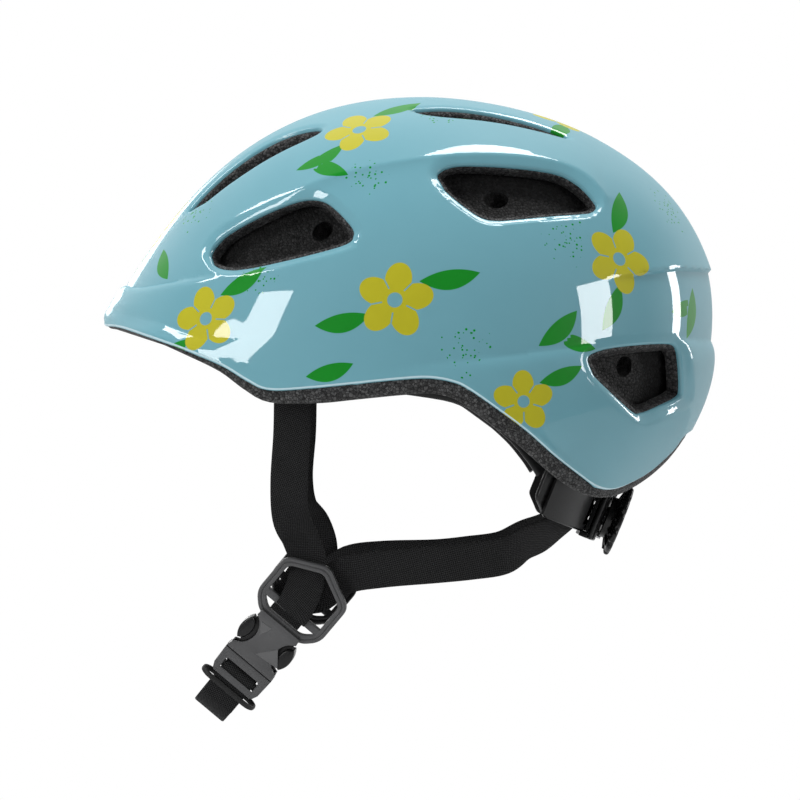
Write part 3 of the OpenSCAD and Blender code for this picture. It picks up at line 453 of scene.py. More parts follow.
ROOF_VENT = [
    (32.6, -8.6), (34.4, -8.2), (37.4, -4.6), (39.6, 2.6), (40, 10), (39.4, 20), (38.2, 30),
    (36.6, 40), (34.6, 48), (33, 51.6), (31.6, 51.2), (31, 46), (30.8, 36), (30.8, 24),
    (31, 12), (31.6, 0),
]
# Middle line of each flank vent, and how wide its dish is over and under that line
DISHES = [
    ([(-88, 56), (-36, 68)], 3.2, 1.5), ([(2, 86), (60, 79)], 3.4, 1.4),
    ([(60, 10), (95, 10)], 2.6, 2.8),
]
LIP_R, DISH_DEEP, ROOF_DISH, ROOF_DISH_SHARE = 1.1, 1.3, 1.8, 0.55
NEAR = 12


def closed_line(points, steps=6):
    rows = [*points[-2:], *points, *points[:2]]
    return smooth_line(rows, steps)[2 * steps : -2 * steps - 1]


def distance_to(outline, flat_points):
    """Signed distance from points in a plane to a closed outline, below 0 inside."""
    start, end = outline, np.roll(outline, -1, axis=0)
    best = np.full(len(flat_points), 1e9)
    inside = np.zeros(len(flat_points), bool)
    for (ax, ay), (bx, by) in zip(start, end):
        px, py = flat_points[:, 0] - ax, flat_points[:, 1] - ay
        dx, dy = bx - ax, by - ay
        along = np.clip((px * dx + py * dy) / (dx * dx + dy * dy), 0, 1)
        best = np.minimum(best, np.hypot(px - along * dx, py - along * dy))
        spans = (ay > flat_points[:, 1]) != (by > flat_points[:, 1])
        inside ^= spans & (px < dx * py / (dy if dy else 1e-9))
    return np.where(inside, -best, best)


def near_distance(outline, flat, on_side=True):
    """The same distance, worked out only near the outline; 99 for all other points."""
    near = (flat > outline.min(0) - NEAR).all(1) & (flat < outline.max(0) + NEAR).all(1)
    near &= on_side
    value = np.full(len(flat), 99.0)
    value[near] = distance_to(outline, flat[near])
    return value


flank_vents = [closed_line(v) for v in (FRONT_VENT, UPPER_VENT, REAR_VENT)]
roof_vents = [closed_line(v) for v in (BROW_VENT, ROOF_VENT)]


def flank_distance(points):
    return np.min([near_distance(o, points[:, 1:]) for o in flank_vents], axis=0)


def from_above(points):
    """Places seen from above, with the right side laid over the left."""
    return np.stack([abs(points[:, 0]), points[:, 1]], -1)


def roof_distance(points):
    flat, on_roof = from_above(points), points[:, 2] > 60
    return np.min([near_distance(o, flat, on_roof) for o in roof_vents], axis=0)


def dish_share(points):
    """How far into the dish of a vent each point lies: 0 outside it, 1 at the lip."""
    share = np.clip(1 - (roof_distance(points) - LIP_R) / ROOF_DISH, 0, 1) * ROOF_DISH_SHARE
    for outline, (line, over, under) in zip(flank_vents, DISHES):
        line = np.array(line)
        width = under + (over - under) * fade(over_line(points, line), -6, 6)
        away = near_distance(outline, points[:, 1:]) - LIP_R
        share = np.maximum(share, np.clip(1 - away / width, 0, 1))
    return share


print("vent outlines", [len(v) for v in flank_vents + roof_vents])

# %% [markdown]
# ## Relief of the skin
# The skin is not smooth: a ridge runs over the flank vents, a long crease under them, a
# ledge and a fold stiffen the brim, the back has a sharp step, and each vent sits in a
# shallow dish. Each is a height added along the normal, worked out from the distance
# to its line.

# %% Height of the relief
STEP_LIFT, STEP_FALL, RIDGE_LIFT, BRIM_DROP, RIM_ROLL = 1.6, 0.9, 1.7, 2.4, 0.45
# Each line that the skin stands proud below: its lift, how soon it is reached, and the
# stretch of length over which it fades in
PROUD_BELOW = [(crease, 2.3, 3, (-30, 30)), (brow, 1.8, 1.3, (-76, -104)),
               (fold, 1.9, 5, (-60, -104))]


def beyond(depth, reach):
    """0 before a line, then rising to 1 within about reach millimetres."""
    return np.where(depth > 0, 1 - np.exp(-np.maximum(depth, 0) / reach), 0)


def above_or_below(over, above, below):
    """1 on a line, falling off within above millimetres over it, or as below says."""
    return np.where(over > 0, np.exp(-np.maximum(over, 0) / above), below)


def skin_relief(points):
    length, height = points[..., 1], points[..., 2]
    over = over_line(points, ridge)
    lift = RIDGE_LIFT * fade(length, -70, -46) * fade(length, 76, 60) * above_or_below(
        over, 12, np.exp(np.minimum(over, 0) / 3.2))
    for line, most, reach, stretch in PROUD_BELOW:
        lift += most * fade(length, *stretch) * beyond(-over_line(points, line), reach)
    lift -= BRIM_DROP * fade(length, -108, -128) * fade(height, 38, 29)
    over = over_line(points, rear_step)
    lift += STEP_LIFT * fade(length, 66, 88) * above_or_below(
        over, 16, np.clip(1 + over / STEP_FALL, 0, 1))
    lift += RIM_ROLL * np.exp(-abs(over_line(points, skin_rim)) / 1.5)
    flat = points.reshape(-1, 3)
    return lift - DISH_DEEP * (dish_share(flat) ** 1.3).reshape(length.shape)


def skin_point(turn, fall, inset=0.0):
    base = skin_base(turn, fall)
    return base + skin_normal(turn, fall) * (skin_relief(base) - inset)[..., None]


print("brim tip", skin_point(np.array([0.0]), np.array([1.0])).round(1))

# %% [markdown]
# ## Cutting clean edges into a dense surface
# A boolean cut would leave thin slivers along every vent. Here each vertex that is
# nearest to an outline is slid onto it first, so the mesh follows the line, and then
# the faces inside are simply left out.


# %% Snap, split and trim
class Sheet:
    """A sphere whose vertices are laid onto a surface by their turn and fall."""

    def __init__(self, surface, around, rows, middle_row):
        self.surface = surface
        self.shape = bmesh.new()
        self.shape.verts.layers.float.new("edge")
        bmesh.ops.create_uvsphere(self.shape, u_segments=around, v_segments=rows, radius=1)
        self.shape.verts.ensure_lookup_table()
        x, y, z = np.array([v.co for v in self.shape.verts]).T
        tilt = np.arccos(np.clip(z, -1, 1)) / math.pi
        self.turn = np.degrees(np.arctan2(x, -y))
        self.fall = np.where(tilt < middle_row, tilt / middle_row,
                             1 + (tilt - middle_row) / (1 - middle_row))

    def points(self):
        return self.surface(self.turn, self.fall)

    def snap(self, field):
        """Slides vertices onto the line where field is 0, and returns which ones."""
        self.shape.edges.ensure_lookup_table()
        ends = np.array([[v.index for v in e.verts] for e in self.shape.edges])
        value = field(self.points())
        one, two = ends[(value[ends[:, 0]] > 0) != (value[ends[:, 1]] > 0)].T
        if not len(one):
            return np.zeros(len(value), bool)
        round_by = (self.turn[two] - self.turn[one] + 180) % 360 - 180
        round_by = np.where((self.fall[one] < 0.001) | (self.fall[two] < 0.001), 0, round_by)
        down_by = self.fall[two] - self.fall[one]

        def between(share):
            return self.turn[one] + round_by * share, self.fall[one] + down_by * share

        low, high = np.zeros(len(one)), np.ones(len(one))
        for _ in range(12):
            mid = (low + high) / 2
            same = (field(self.surface(*between(mid))) > 0) == (value[one] > 0)
            low, high = np.where(same, mid, low), np.where(same, high, mid)
        share = (low + high) / 2
        moved = np.where(share < 0.5, one, two)
        far_first = np.argsort(-np.where(share < 0.5, share, 1 - share), kind="stable")
        new_turn, new_fall = between(share)
        self.turn[moved[far_first]] = new_turn[far_first]
        self.fall[moved[far_first]] = new_fall[far_first]
        on = np.zeros(len(value), bool)
        on[moved] = True
        self.split(on)
        return on

    def split(self, on):
        """Cuts each four sided face from corner to corner where the line crosses it."""
        self.shape.verts.ensure_lookup_table()
        beside_line = dict.fromkeys(
            f for i in np.flatnonzero(on) for f in self.shape.verts[i].link_faces)
        crossed = [
            f for f in beside_line
            if len(f.verts) == 4 and sum(bool(on[v.index]) for v in f.verts) == 2
            and (on[f.verts[0].index] == on[f.verts[2].index])
        ]
        for face, pair in [(f, [v for v in f.verts if on[v.index]]) for f in crossed]:
            bmesh.utils.face_split(face, *pair)

    def trim(self, field):
        """Snaps to the line and leaves out whatever lies where field is below 0."""
        on = self.snap(field)
        value = field(self.points())
        self.lay()
        inside = (value < 0) & ~on
        doubtful = [f for f in self.shape.faces if all(on[v.index] for v in f.verts)]
        middle = np.array([f.calc_center_median() for f in doubtful]).reshape(-1, 3)
        drop = [f for f, v in zip(doubtful, field(middle)) if v < 0] if len(middle) else []
        bmesh.ops.delete(self.shape, geom=drop, context="FACES_ONLY")
        self.shape.verts.ensure_lookup_table()
        gone = [v for v in self.shape.verts if inside[v.index] or not v.link_faces]
        bmesh.ops.delete(self.shape, geom=gone, context="VERTS")

    def lay(self):
        """Puts every vertex where its turn and fall say, and keeps its normal."""
        keep = self.shape.verts.layers.float_vector.new("facing")
        level = np.clip(self.fall, 0.02, 2)
        facing = unit_rows(np.cross(
            self.surface(self.turn, np.clip(self.fall + 0.004, 0.02, 1.99))
            - self.surface(self.turn, np.clip(self.fall - 0.004, 0.012, 1.98)),
            self.surface(self.turn + 0.3, level) - self.surface(self.turn - 0.3, level)))
        for vert, point, normal in zip(self.shape.verts, self.points(), facing):
            vert.co = point
            vert[keep] = normal


print("sheet helper ready")

# %% [markdown]
# A sheet that is trimmed has a knife edge. Extruding its open border along a rounded
# profile gives it the rolled lip that a moulded edge has.


# %% Rolled edges
def open_rings(shape):
    """The open borders of a mesh, each as a ring of vertices in order."""
    left = {e.index: e for e in shape.edges if e.is_boundary}
    rings = []
    while left:
        first = left.pop(min(left))
        ring = [first.verts[0], first.verts[1]]
        while True:
            following = [e for e in ring[-1].link_edges if e.index in left]
            if not following:
                break
            del left[following[0].index]
            ring.append(following[0].other_vert(ring[-1]))
        if ring[0] == ring[-1]:
            ring.pop()
        rings.append(ring)
    return rings


def ring_edges(shape, ring):
    return [shape.edges.get((a, b)) for a, b in zip(ring, ring[1:] + ring[:1])]


def next_ring(shape, ring):
    """Extrudes a ring of edges once and returns the new ring in the same order."""
    made = bmesh.ops.extrude_edge_only(shape, edges=ring_edges(shape, ring))["geom"]
    fresh = {g for g in made if isinstance(g, bmesh.types.BMVert)}
    return [next(e.other_vert(v) for e in v.link_edges if e.other_vert(v) in fresh) for v in ring]


def soften(rows):
    """Evens out the rows of a closed ring, four times over."""
    for _ in range(4):
        rows = (np.roll(rows, 1, 0) + rows * 2 + np.roll(rows, -1, 0)) / 4
    return rows


def roll_edge(shape, ring, profile, pale=0):
    """Turns an open border inwards. profile lists (into the hole, into the wall).

    The first pale steps of it get the value 1 in the layer named edge, which the skin's paint
    shows as a painted highlight."""
    keep = shape.verts.layers.float_vector["facing"]
    place = np.array([v.co for v in ring])
    out = unit_rows(np.array([v[keep] for v in ring]))
    along = unit_rows(soften(np.roll(place, -2, 0) - np.roll(place, 2, 0)))
    into = unit_rows(np.cross(along, out))
    behind = np.array([v.link_faces[0].calc_center_median() for v in ring]) - place
    if (into * behind).sum() > 0:
        into = -into
    edge = shape.verts.layers.float["edge"]
    for step, (across, deep) in enumerate(profile):
        ring = next_ring(shape, ring)
        for vert, point in zip(ring, place + into * across - out * deep):
            vert.co = point
            vert[edge] = float(step < pale)
    return ring


FILLET = [(0.12, 0.03), (0.35, 0.14), (0.62, 0.36), (0.84, 0.66), (0.97, 1.0), (1.0, 1.4)]


def scaled_fillet(radius, further):
    """The rolled profile at a radius, then straight on into the wall."""
    return [(a * radius, d * radius) for a, d in FILLET] + [(radius, 1.4 * radius + further)]


print("rolled edge of", len(FILLET) + 1, "steps")

# %% [markdown]
# ## The printed skin
# A real skin is printed flat and then blown into shape, under a hard gloss coat. The
# print stands here as five-petalled blossoms with leaves and loose speckles. Each face
# of the mesh carries its place in the nearest motif, so the shader only has to draw
# one blossom and one leaf, and it draws them all.

# %% Motifs of the print
TEAL, TEAL_DARK = (0.173, 0.41, 0.484), (0.159, 0.387, 0.461)
YELLOW, YELLOW_DEEP = (0.55, 0.51, 0.018), (0.49, 0.45, 0.014)
GREEN, GREEN_DEEP = (0.002, 0.275, 0.014), (0.002, 0.235, 0.011)
# the pale rim colour is a painted highlight along the skin's rolled rim, partly the pale cut edge
# of the shell
RIM_HIGHLIGHT_PAINT = (0.50, 0.70, 0.76)

# Turn round the head, fall from the crown, spin and radius of each blossom
BLOSSOMS = [
    (79.8, 0.832, 10, 15), (44.4, 0.926, 35, 13.5), (131.1, 0.782, 60, 14), (104, 1.12, 20, 12),
    (64.3, 0.342, 50, 14), (173, 0.357, 0, 14), (2, 0.70, 80, 14), (-28, 0.6, 15, 14),
    (-58, 0.86, 70, 15), (-96, 0.44, 25, 14), (-112, 0.92, 50, 14), (-146, 0.62, 10, 14),
    (-172, 0.96, 65, 13), (-66, 0.3, 5, 13),
]
# Loose leaves: turn, fall, spin and length
LEAVES = [
    (113, 0.906, 40, 11), (116.5, 0.935, -20, 9), (61.5, 0.5, -25, 11), (57.6, 0.475, 35, 9),
    (69.3, 0.99, 15, 10), (154.6, 0.93, 70, 11), (150.5, 0.915, 15, 9), (105.7, 0.27, -10, 10),
    (-82, 0.93, 20, 11), (-85, 0.965, -35, 9), (-40, 0.95, 60, 11), (-120, 0.68, 30, 11),
    (-76, 0.6, -60, 10), (-160, 0.3, 10, 11), (24, 0.82, -45, 10), (-12, 0.93, 0, 10),
]
# Middles of the speckle clusters: turn, fall, spin and radius
SPECKLES = [
    (92, 0.93, 0, 12), (53, 0.8, 0, 11), (118, 0.72, 0, 12), (140, 1.05, 0, 11), (72, 0.52, 0, 10),
    (160, 0.7, 0, 12), (24, 0.66, 0, 11), (-45, 0.78, 0, 12), (-84, 0.78, 0, 12),
    (-104, 0.62, 0, 11), (-132, 0.86, 0, 12), (-164, 0.8, 0, 12), (90, 0.26, 0, 11),
]


def turned(degrees):
    """Cosine and sine of an angle in degrees."""
    return math.cos(math.radians(degrees)), math.sin(math.radians(degrees))


def skin_frames(motifs):
    """Centre, two directions along the skin, and size of each motif, in mm."""
    frames = []
    for turn, fall, spin, size in motifs:
        t, f = np.array([float(turn)]), np.array([float(fall)])
        normal = skin_normal(t, f)[0]
        level = unit_rows(np.cross((0, 0, 1), normal))
        rise = np.cross(normal, level)
        c, s = turned(spin)
        frames.append((skin_point(t, f)[0], level * c + rise * s, rise * c - level * s, size))
    return frames


def beside(frames, across, up, share):
    """Frames moved within their own plane, for the leaves of a blossom."""
    return [(c + u * across * size + v * up * size, u, v, size * share)
            for c, u, v, size in frames]


def stick(piece, name, frames):
    """Gives each face the coordinates of its nearest motif, and the motif's size."""
    mesh = piece.data
    verts = vertex_rows(mesh) / MM
    corner = np.empty(len(mesh.loops), int)
    mesh.loops.foreach_get("vertex_index", corner)
    sides = np.empty(len(mesh.polygons), int)
    mesh.polygons.foreach_get("loop_total", sides)
    starts = np.concatenate(([0], np.cumsum(sides)[:-1]))
    middle = np.add.reduceat(verts[corner], starts) / sides[:, None]
    reach = np.stack([np.linalg.norm(middle - c, axis=1) / size for c, _, _, size in frames])
    owner = np.repeat(reach.argmin(0), sides)
    centre, one, two = (np.array([f[i] for f in frames])[owner] for i in range(3))
    size = np.array([f[3] for f in frames])[owner]
    away = verts[corner] - centre
    rows = np.stack([(away * one).sum(1), (away * two).sum(1), size], -1)
    layer = mesh.attributes.new(name, "FLOAT_VECTOR", "CORNER")
    layer.data.foreach_set("vector", rows.ravel())


def skin_paint():
    paint = Finish("printed_skin")
    where = paint.place()

    def motif(name):
        return paint.split(paint.attribute(name, 1))

    x, y, size = motif("blossom")
    far = (x * x + y * y) ** 0.5
    lobe = abs((y.angle_over(x) * 2.5).cosine())
    inside = (lobe * 0.42 + 0.6) * size - far
    petals = inside.ramp(-0.2, 0.2)
    seam = (0.7 - lobe * far).ramp(-0.15, 0.15) * (far - 0.34 * size).ramp(-0.2, 0.2)
    heart = (0.2 * size - far).ramp(-0.2, 0.2)
    x, y, size = motif("leaf")
    lens = 0.34 * size - x * x / (2.9 * size) - abs(y - x * x / (9 * size))
    leaves = lens.ramp(-0.12, 0.12)
    x, y, size = motif("speckle")
    cluster = 1 - (x * x + y * y) ** 0.5 / size
    dot = paint.cells(where, 640.0)
    pick = paint.split(paint.cells(where, 640.0, take=1))
    speckle = (pick[0] * 0.14 + 0.20 - dot).ramp(-0.04, 0.04) * (cluster * 1.1 > pick[1])
    brush = paint.noise(where, 60.0, 3.0, 0.55)
    edge_on = paint.node("ShaderNodeLayerWeight", {}, {"Blend": 0.5}, take=1)
    colour = paint.mix(brush, TEAL_DARK, TEAL)
    for mask, ink in (
        (leaves, paint.mix(brush, GREEN_DEEP, GREEN)),
        (petals, paint.mix(brush, YELLOW_DEEP, YELLOW)),
        ((seam * petals).most(heart), TEAL_DARK),
        (speckle, GREEN),
        # the rim's first rolled steps get a pale colour: a painted highlight, partly the shell's
        # pale cut edge
        (paint.attribute("edge", 2), RIM_HIGHLIGHT_PAINT),
    ):
        colour = paint.mix(mask, colour, ink)
    paint.set(base_color=colour, roughness=paint.noise(where, 420.0) * 0.08 + 0.42,
              specular_ior_level=0.1, coat_weight=0.95 - edge_on.ramp(0.4, 0.95) * 0.8,
              coat_roughness=0.03)
    paint.bump(paint.noise(where, 30.0, 1.0), 0.0002, 0.2)
    return paint


skin_finish = skin_paint()
print("print of", len(BLOSSOMS), "blossoms,", len(skin_finish.tree.nodes), "nodes")

# %% [markdown]
# ## The skin
# On the real helmet the blown sheet is trimmed along the rim and round the vents, and
# its edges turn in a little. The mesh does the same: a dense sphere is laid on the
# surface, trimmed along its outlines, and its open edges are rolled inwards.

# %% Skin with rolled vent lips
def skin_cut(points):
    vents = np.minimum(flank_distance(points), roof_distance(points)) - LIP_R
    return np.minimum(vents, over_line(points, skin_rim))


RIM_ROW = 0.75
skin_sheet = Sheet(skin_point, 440, 250, RIM_ROW)
for line in (ridge, crease, brow, fold, rear_step):
    skin_sheet.snap(lambda points: over_line(points, line))
skin_sheet.snap(lambda points: over_line(points, rear_step) + STEP_FALL)
skin_sheet.snap(lambda points: dish_share(points) - 0.001)
skin_sheet.trim(skin_cut)
skin_mesh = skin_sheet.shape
bmesh.ops.dissolve_degenerate(skin_mesh, dist=0.02, edges=skin_mesh.edges)
rings = sorted(open_rings(skin_mesh), key=len)
print("open edges", [len(r) for r in rings])
*vent_rings, rim_ring = rings
for ring in vent_rings:
    roll_edge(skin_mesh, ring, scaled_fillet(LIP_R, 0.5))
# its first three steps carry the painted highlight of the rim
roll_edge(skin_mesh, rim_ring, scaled_fillet(LIP_R, 1.0), pale=3)
bmesh.ops.recalc_face_normals(skin_mesh, faces=skin_mesh.faces)
skin = finish_piece(
    "skin", skin_mesh, "helmet", skin_finish, ["outer_shell"], angle=38)
blossom_frames = skin_frames(BLOSSOMS)
stick(skin, "blossom", blossom_frames)
stick(skin, "leaf", skin_frames(LEAVES) + beside(blossom_frames, 1.5, 0.3, 0.8)
      + beside(blossom_frames, -1.45, -0.35, 0.75))
stick(skin, "speckle", skin_frames(SPECKLES))

# %% [markdown]
# ## The foam liner
# The liner is moulded from black expanded foam beads. Its outside follows the skin and
# its inside is the head space. The roof vents run right through it. The flank vents
# end on a foam floor, and a slanting passage leads the air on from there. Three sheets
# are cut along the same outlines, and the open rings are joined in pairs.

# %% Foam with its vents
CAVITY_L, CAVITY_W, CAVITY_TOP, CAVITY_Y = 180.0, 142.0, 96.0, -8.0
CAVITY_SPRING, CAVITY_FLOOR = 20.0, -46.0


def cavity_surface(turn, fall):
    """The wall of the head space: a dome down to the spring line, then upright."""
    a, u = np.radians(turn), np.clip(fall, 0, 1) * math.pi / 2
    down = np.clip(fall - 1, 0, 1) * (CAVITY_SPRING - CAVITY_FLOOR)
    return np.stack([
        CAVITY_W / 2 * np.sin(a) * np.sin(u),
        CAVITY_Y - CAVITY_L / 2 * np.cos(a) * np.sin(u),
        CAVITY_SPRING + (CAVITY_TOP - CAVITY_SPRING) * np.cos(u) - down,
    ], -1)


VENT_DEPTH, FOAM_INSET = 9.0, 1.4
# Ends of the air passages, from the floors of the flank vents to the head space
PASSAGES = [((74, -53, 66), (40, -28, 68)), ((70, 20, 81.5), (32, 40, 66)),
            ((80, 81, 7), (24, 60, 26))]
PASSAGE_R = 4.0


def passage_distance(points, ends):
    start, way = np.array(ends[0], float), unit_rows(np.subtract(ends[1], ends[0]).astype(float))
    here = np.stack([abs(points[:, 0]), points[:, 1], points[:, 2]], -1) - start
    return np.linalg.norm(here - np.outer(here @ way, way), axis=1) - PASSAGE_R


def passages(points):
    return np.min([passage_distance(points, ends) for ends in PASSAGES], axis=0)


def mouth_cut(points):
    vents = np.minimum(flank_distance(points), roof_distance(points)) - 0.2
    return np.minimum(vents, over_line(points, foam_rim))


def floor_cut(points):
    return np.minimum(-flank_distance(points) - 2.2, passages(points))


def inner_cut(points):
    return np.minimum.reduce(
        [roof_distance(points) + 3, passages(points), over_line(points, foam_rim)])


OUTER, FLOOR, INNER = 1, 2, 3
BEADS = 850.0


def foam_paint():
    """Fused beads; the floors of the vents, marked FLOOR, lie deeper and get painted shade, a
    darker copy of the same foam's colours.
    """
    paint = Finish("black_foam")
    where = paint.place()
    beads = paint.cells(where, BEADS, "SMOOTH_F1", Smoothness=0.4)
    gaps = paint.cells(where, BEADS, "DISTANCE_TO_EDGE")
    bead = paint.split(paint.cells(where, BEADS, take=1))[0]
    light = (bead * 0.95 + 0.2) * gaps.ramp(-0.02, 0.12) * 0.7
    band = paint.mix(light, (0.010, 0.010, 0.0105), (0.135, 0.134, 0.134))
    # painted shade: the deep floors of the vents get a darker copy of the bead colours
    painted_shade_floor = paint.mix(light, (0.001, 0.001, 0.001), (0.026, 0.026, 0.0265))
    on_painted_shade_floor = 1 - abs(paint.attribute("wall", 2) - FLOOR)
    paint.set(base_color=paint.mix(on_painted_shade_floor, band, painted_shade_floor),
              roughness=gaps.ramp(0.0, 0.12) * -0.2 + 0.78, specular_ior_level=0.2)
    paint.bump(gaps.ramp(0.0, 0.12) - beads * 0.4, 0.0006, 0.8)
    return paint


def add_wall(shape, sheet, label):
    """Copies a trimmed sheet into the foam, and marks its vertices with a label."""
    bmesh.ops.dissolve_degenerate(sheet.shape, dist=0.02, edges=sheet.shape.edges)
    mark = sheet.shape.verts.layers.int.new("wall")
    for vert in sheet.shape.verts:
        vert[mark] = label
    data = bpy.data.meshes.new("foam_wall")
    sheet.shape.to_mesh(data)
    sheet.shape.free()
    shape.from_mesh(data)
    bpy.data.meshes.remove(data)


def cut_name(ring):
    """Which cut made a ring, and on which side of the head it lies."""
    points = np.array([v.co for v in ring])
    gaps = {"rim": over_line(points, foam_rim)}
    gaps |= {f"flank {i}": distance_to(o, points[:, 1:]) for i, o in enumerate(flank_vents)}
    gaps |= {f"roof {i}": distance_to(o, from_above(points)) for i, o in enumerate(roof_vents)}
    gaps |= {f"passage {i}": passage_distance(points, ends) for i, ends in enumerate(PASSAGES)}
    name = min(gaps, key=lambda key: abs(gaps[key]).mean())
    return name, 0 if name == "rim" else int(np.sign(points[:, 0].mean()))


def outside(turn, fall):
    return skin_point(turn, fall, FOAM_INSET)


def vent_floor(turn, fall):
    return skin_base(turn, fall) - skin_normal(turn, fall) * VENT_DEPTH


foam_mesh = bmesh.new()
for label, surface, around, rows, middle_row, cut in (
    (OUTER, outside, 260, 150, RIM_ROW, mouth_cut),
    (FLOOR, vent_floor, 300, 180, RIM_ROW, floor_cut),
    (INNER, cavity_surface, 240, 140, 0.62, inner_cut),
):
    sheet = Sheet(surface, around, rows, middle_row)
    sheet.trim(cut)
    add_wall(foam_mesh, sheet, label)
foam_mesh.edges.index_update()
mark = foam_mesh.verts.layers.int["wall"]
meeting = {}
for ring in open_rings(foam_mesh):
    name = cut_name(ring)
    if ring[0][mark] == OUTER:
        on_flank = name[0].startswith("flank")
        profile = [(a * 1.4, d * 1.4) for a, d in FILLET] + [(1.5, 4), (1.6, 6)] * on_flank
        ring = roll_edge(foam_mesh, ring, profile)
    meeting.setdefault(name, []).append(ring)
for name, pair in sorted(meeting.items()):
    print("foam cut", name, [len(ring) for ring in pair])
    bmesh.ops.bridge_loops(
        foam_mesh, edges=[e for ring in pair for e in ring_edges(foam_mesh, ring)])
bmesh.ops.recalc_face_normals(foam_mesh, faces=foam_mesh.faces)
print("foam open edges", sum(e.is_boundary for e in foam_mesh.edges))
finish_piece("foam", foam_mesh, "helmet", foam_paint(), ["foam_liner"], angle=50)

# %% [markdown]
# ## Carrying a section along a path
# Webbing, bands, wire and the buckle ring are all one section carried along a path. The
# section starts as a circle of vertices and is extruded from station to station, which
# is how the real ones leave the loom or the mould.


# %% Sweep along stations
def run_length(points):
    """How far along an open line each of its points lies."""
    return np.append(0, np.cumsum(np.linalg.norm(np.diff(points, axis=0), axis=1)))


def sweep(shape, rows, closed=False):
    """Skins a list of rings of points (mm) and gives it a UV map in millimetres."""
    layer = shape.loops.layers.uv.get("weave") or shape.loops.layers.uv.new("weave")
    count = len(rows[0])
    ring = bmesh.ops.create_circle(shape, cap_ends=not closed, segments=count, radius=1)
    rings = [ring["verts"]]
    for _ in rows[1:]:
        rings.append(next_ring(shape, rings[-1]))
    spot = {}
    for i, (ring, points) in enumerate(zip(rings, rows)):
        for j, (vert, point) in enumerate(zip(ring, points)):
            vert.co = point
            spot[vert] = (i, j)
    rows = np.array(rows, float)
    middles = rows.mean(1)
    around = run_length([*rows[0], rows[0][0]])
    along = run_length([*middles, middles[0]] if closed else middles)
    ends = ring_edges(shape, rings[-1])
    if closed:
        bmesh.ops.bridge_loops(shape, edges=ends + ring_edges(shape, rings[0]))
    else:
        bmesh.ops.contextual_create(shape, geom=ends)
    faces = {f for vert in spot for f in vert.link_faces}
    for face in faces:
        spots = [spot[loop.vert] for loop in face.loops]
        (low_i, high_i), (low_j, high_j) = ((min(s), max(s)) for s in zip(*spots))
        last_i = closed and low_i == 0 and high_i == len(rings) - 1
        last_j = low_j == 0 and high_j == count - 1
        for loop, (i, j) in zip(face.loops, spots):
            loop[layer].uv = (around[count if last_j and j == 0 else j],
                              along[len(rings) if last_i and i == 0 else i])
    bmesh.ops.recalc_face_normals(shape, faces=list(faces))


def stadium(width, thick, across=8, corner=3):
    """Outline of webbing: flat faces and rounded edges, as (across, up) pairs."""
    r = thick / 2
    flat = width / 2 - r
    points = []
    for side in (1, -1):
        points += [(side * flat * (1 - 2 * k / across), side * r) for k in range(across)]
        for k in range(corner):
            a = math.pi / 2 + math.pi * (k / corner)
            points.append((side * (r * math.cos(a) - flat), side * r * math.sin(a)))
    return points


def strap_rows(stops, faces, outline):
    """Section points at each stop; faces are the ways its outer face looks."""
    along = unit_rows(np.gradient(stops, axis=0))
    across = unit_rows(np.cross(faces, along))
    up = np.cross(along, across)
    return [[p + a * x + n * y for x, y in outline] for p, a, n in zip(stops, across, up)]


print("sweep ready")

# %% [markdown]
# ## Materials of the fittings
# Moulded nylon has a fine spark-eroded grain. Webbing is a dense plain weave of thick
# yarns, seen here as small lozenges in diagonal rows, with painted light on their tops
# and painted shade in the hollows between them.


# %% Paint of plastic, webbing, rubber and steel
def plastic(name, dark, light, rough, grain=0.00006):
    paint = Finish(name)
    where = paint.place()
    wear = paint.noise(where, 60.0, 3.0).ramp(0.3, 0.7)
    paint.set(base_color=paint.mix(wear, dark, light), specular_ior_level=0.35,
              roughness=paint.noise(where, 900.0) * 0.12 + rough)
    paint.bump(paint.noise(where, 2600.0, 1.0), grain, 0.5)
    return paint


def webbing_paint():
    paint = Finish("woven_webbing")
    u, v, _ = paint.split(paint.node("ShaderNodeUVMap", {"uv_map": "weave"}))
    yarn = 2 * math.pi / 1.15
    weave = ((u + v * 0.5) * yarn).sine() * ((v - u * 0.5) * yarn).sine()
    rise = weave * 0.5 + 0.5
    shade = paint.noise(paint.place(), 130.0, 3.0)
    # painted light and shade of the weave: the raised yarns get the lighter colour, the hollows
    # between them the darker one
    dark = paint.mix(shade, (0.002, 0.002, 0.0021), (0.003, 0.003, 0.0032))
    light = paint.mix(shade, (0.026, 0.026, 0.0265), (0.037, 0.037, 0.038))
    paint.set(base_color=paint.mix(rise.ramp(0.1, 0.9), dark, light), roughness=0.86 - rise * 0.12,
              specular_ior_level=0.15)
    paint.bump(rise, 0.00035, 0.8)
    return paint


black_plastic = plastic("black_nylon", (0.004, 0.004, 0.0043), (0.008, 0.008, 0.0085), 0.24)
grey_plastic = plastic("grey_acetal", (0.078, 0.078, 0.080), (0.092, 0.092, 0.094), 0.34)
facet_grey = plastic("satin_acetal", (0.112, 0.112, 0.114), (0.128, 0.128, 0.13), 0.38)
hook_plastic = plastic("hook_tape", (0.010, 0.010, 0.011), (0.017, 0.017, 0.018), 0.7, 0.0003)
cord_rubber = plastic("loop_rubber", (0.010, 0.010, 0.010), (0.015, 0.015, 0.015), 0.5)
steel = plastic("bright_steel", (0.45, 0.45, 0.46), (0.55, 0.55, 0.56), 0.2)
steel.set(metallic=0.95)
webbing = webbing_paint()
print("fitting materials", sorted(m.name for m in bpy.data.materials))

# %% [markdown]
# ## The webbing
# Each side has two straps. The front one comes out of a slot in the foam, the rear one
# is riveted to the cradle at the nape, and both end at the five cornered ring. The
# webbing turns on edge between its ends, so every stop also says how its face looks.

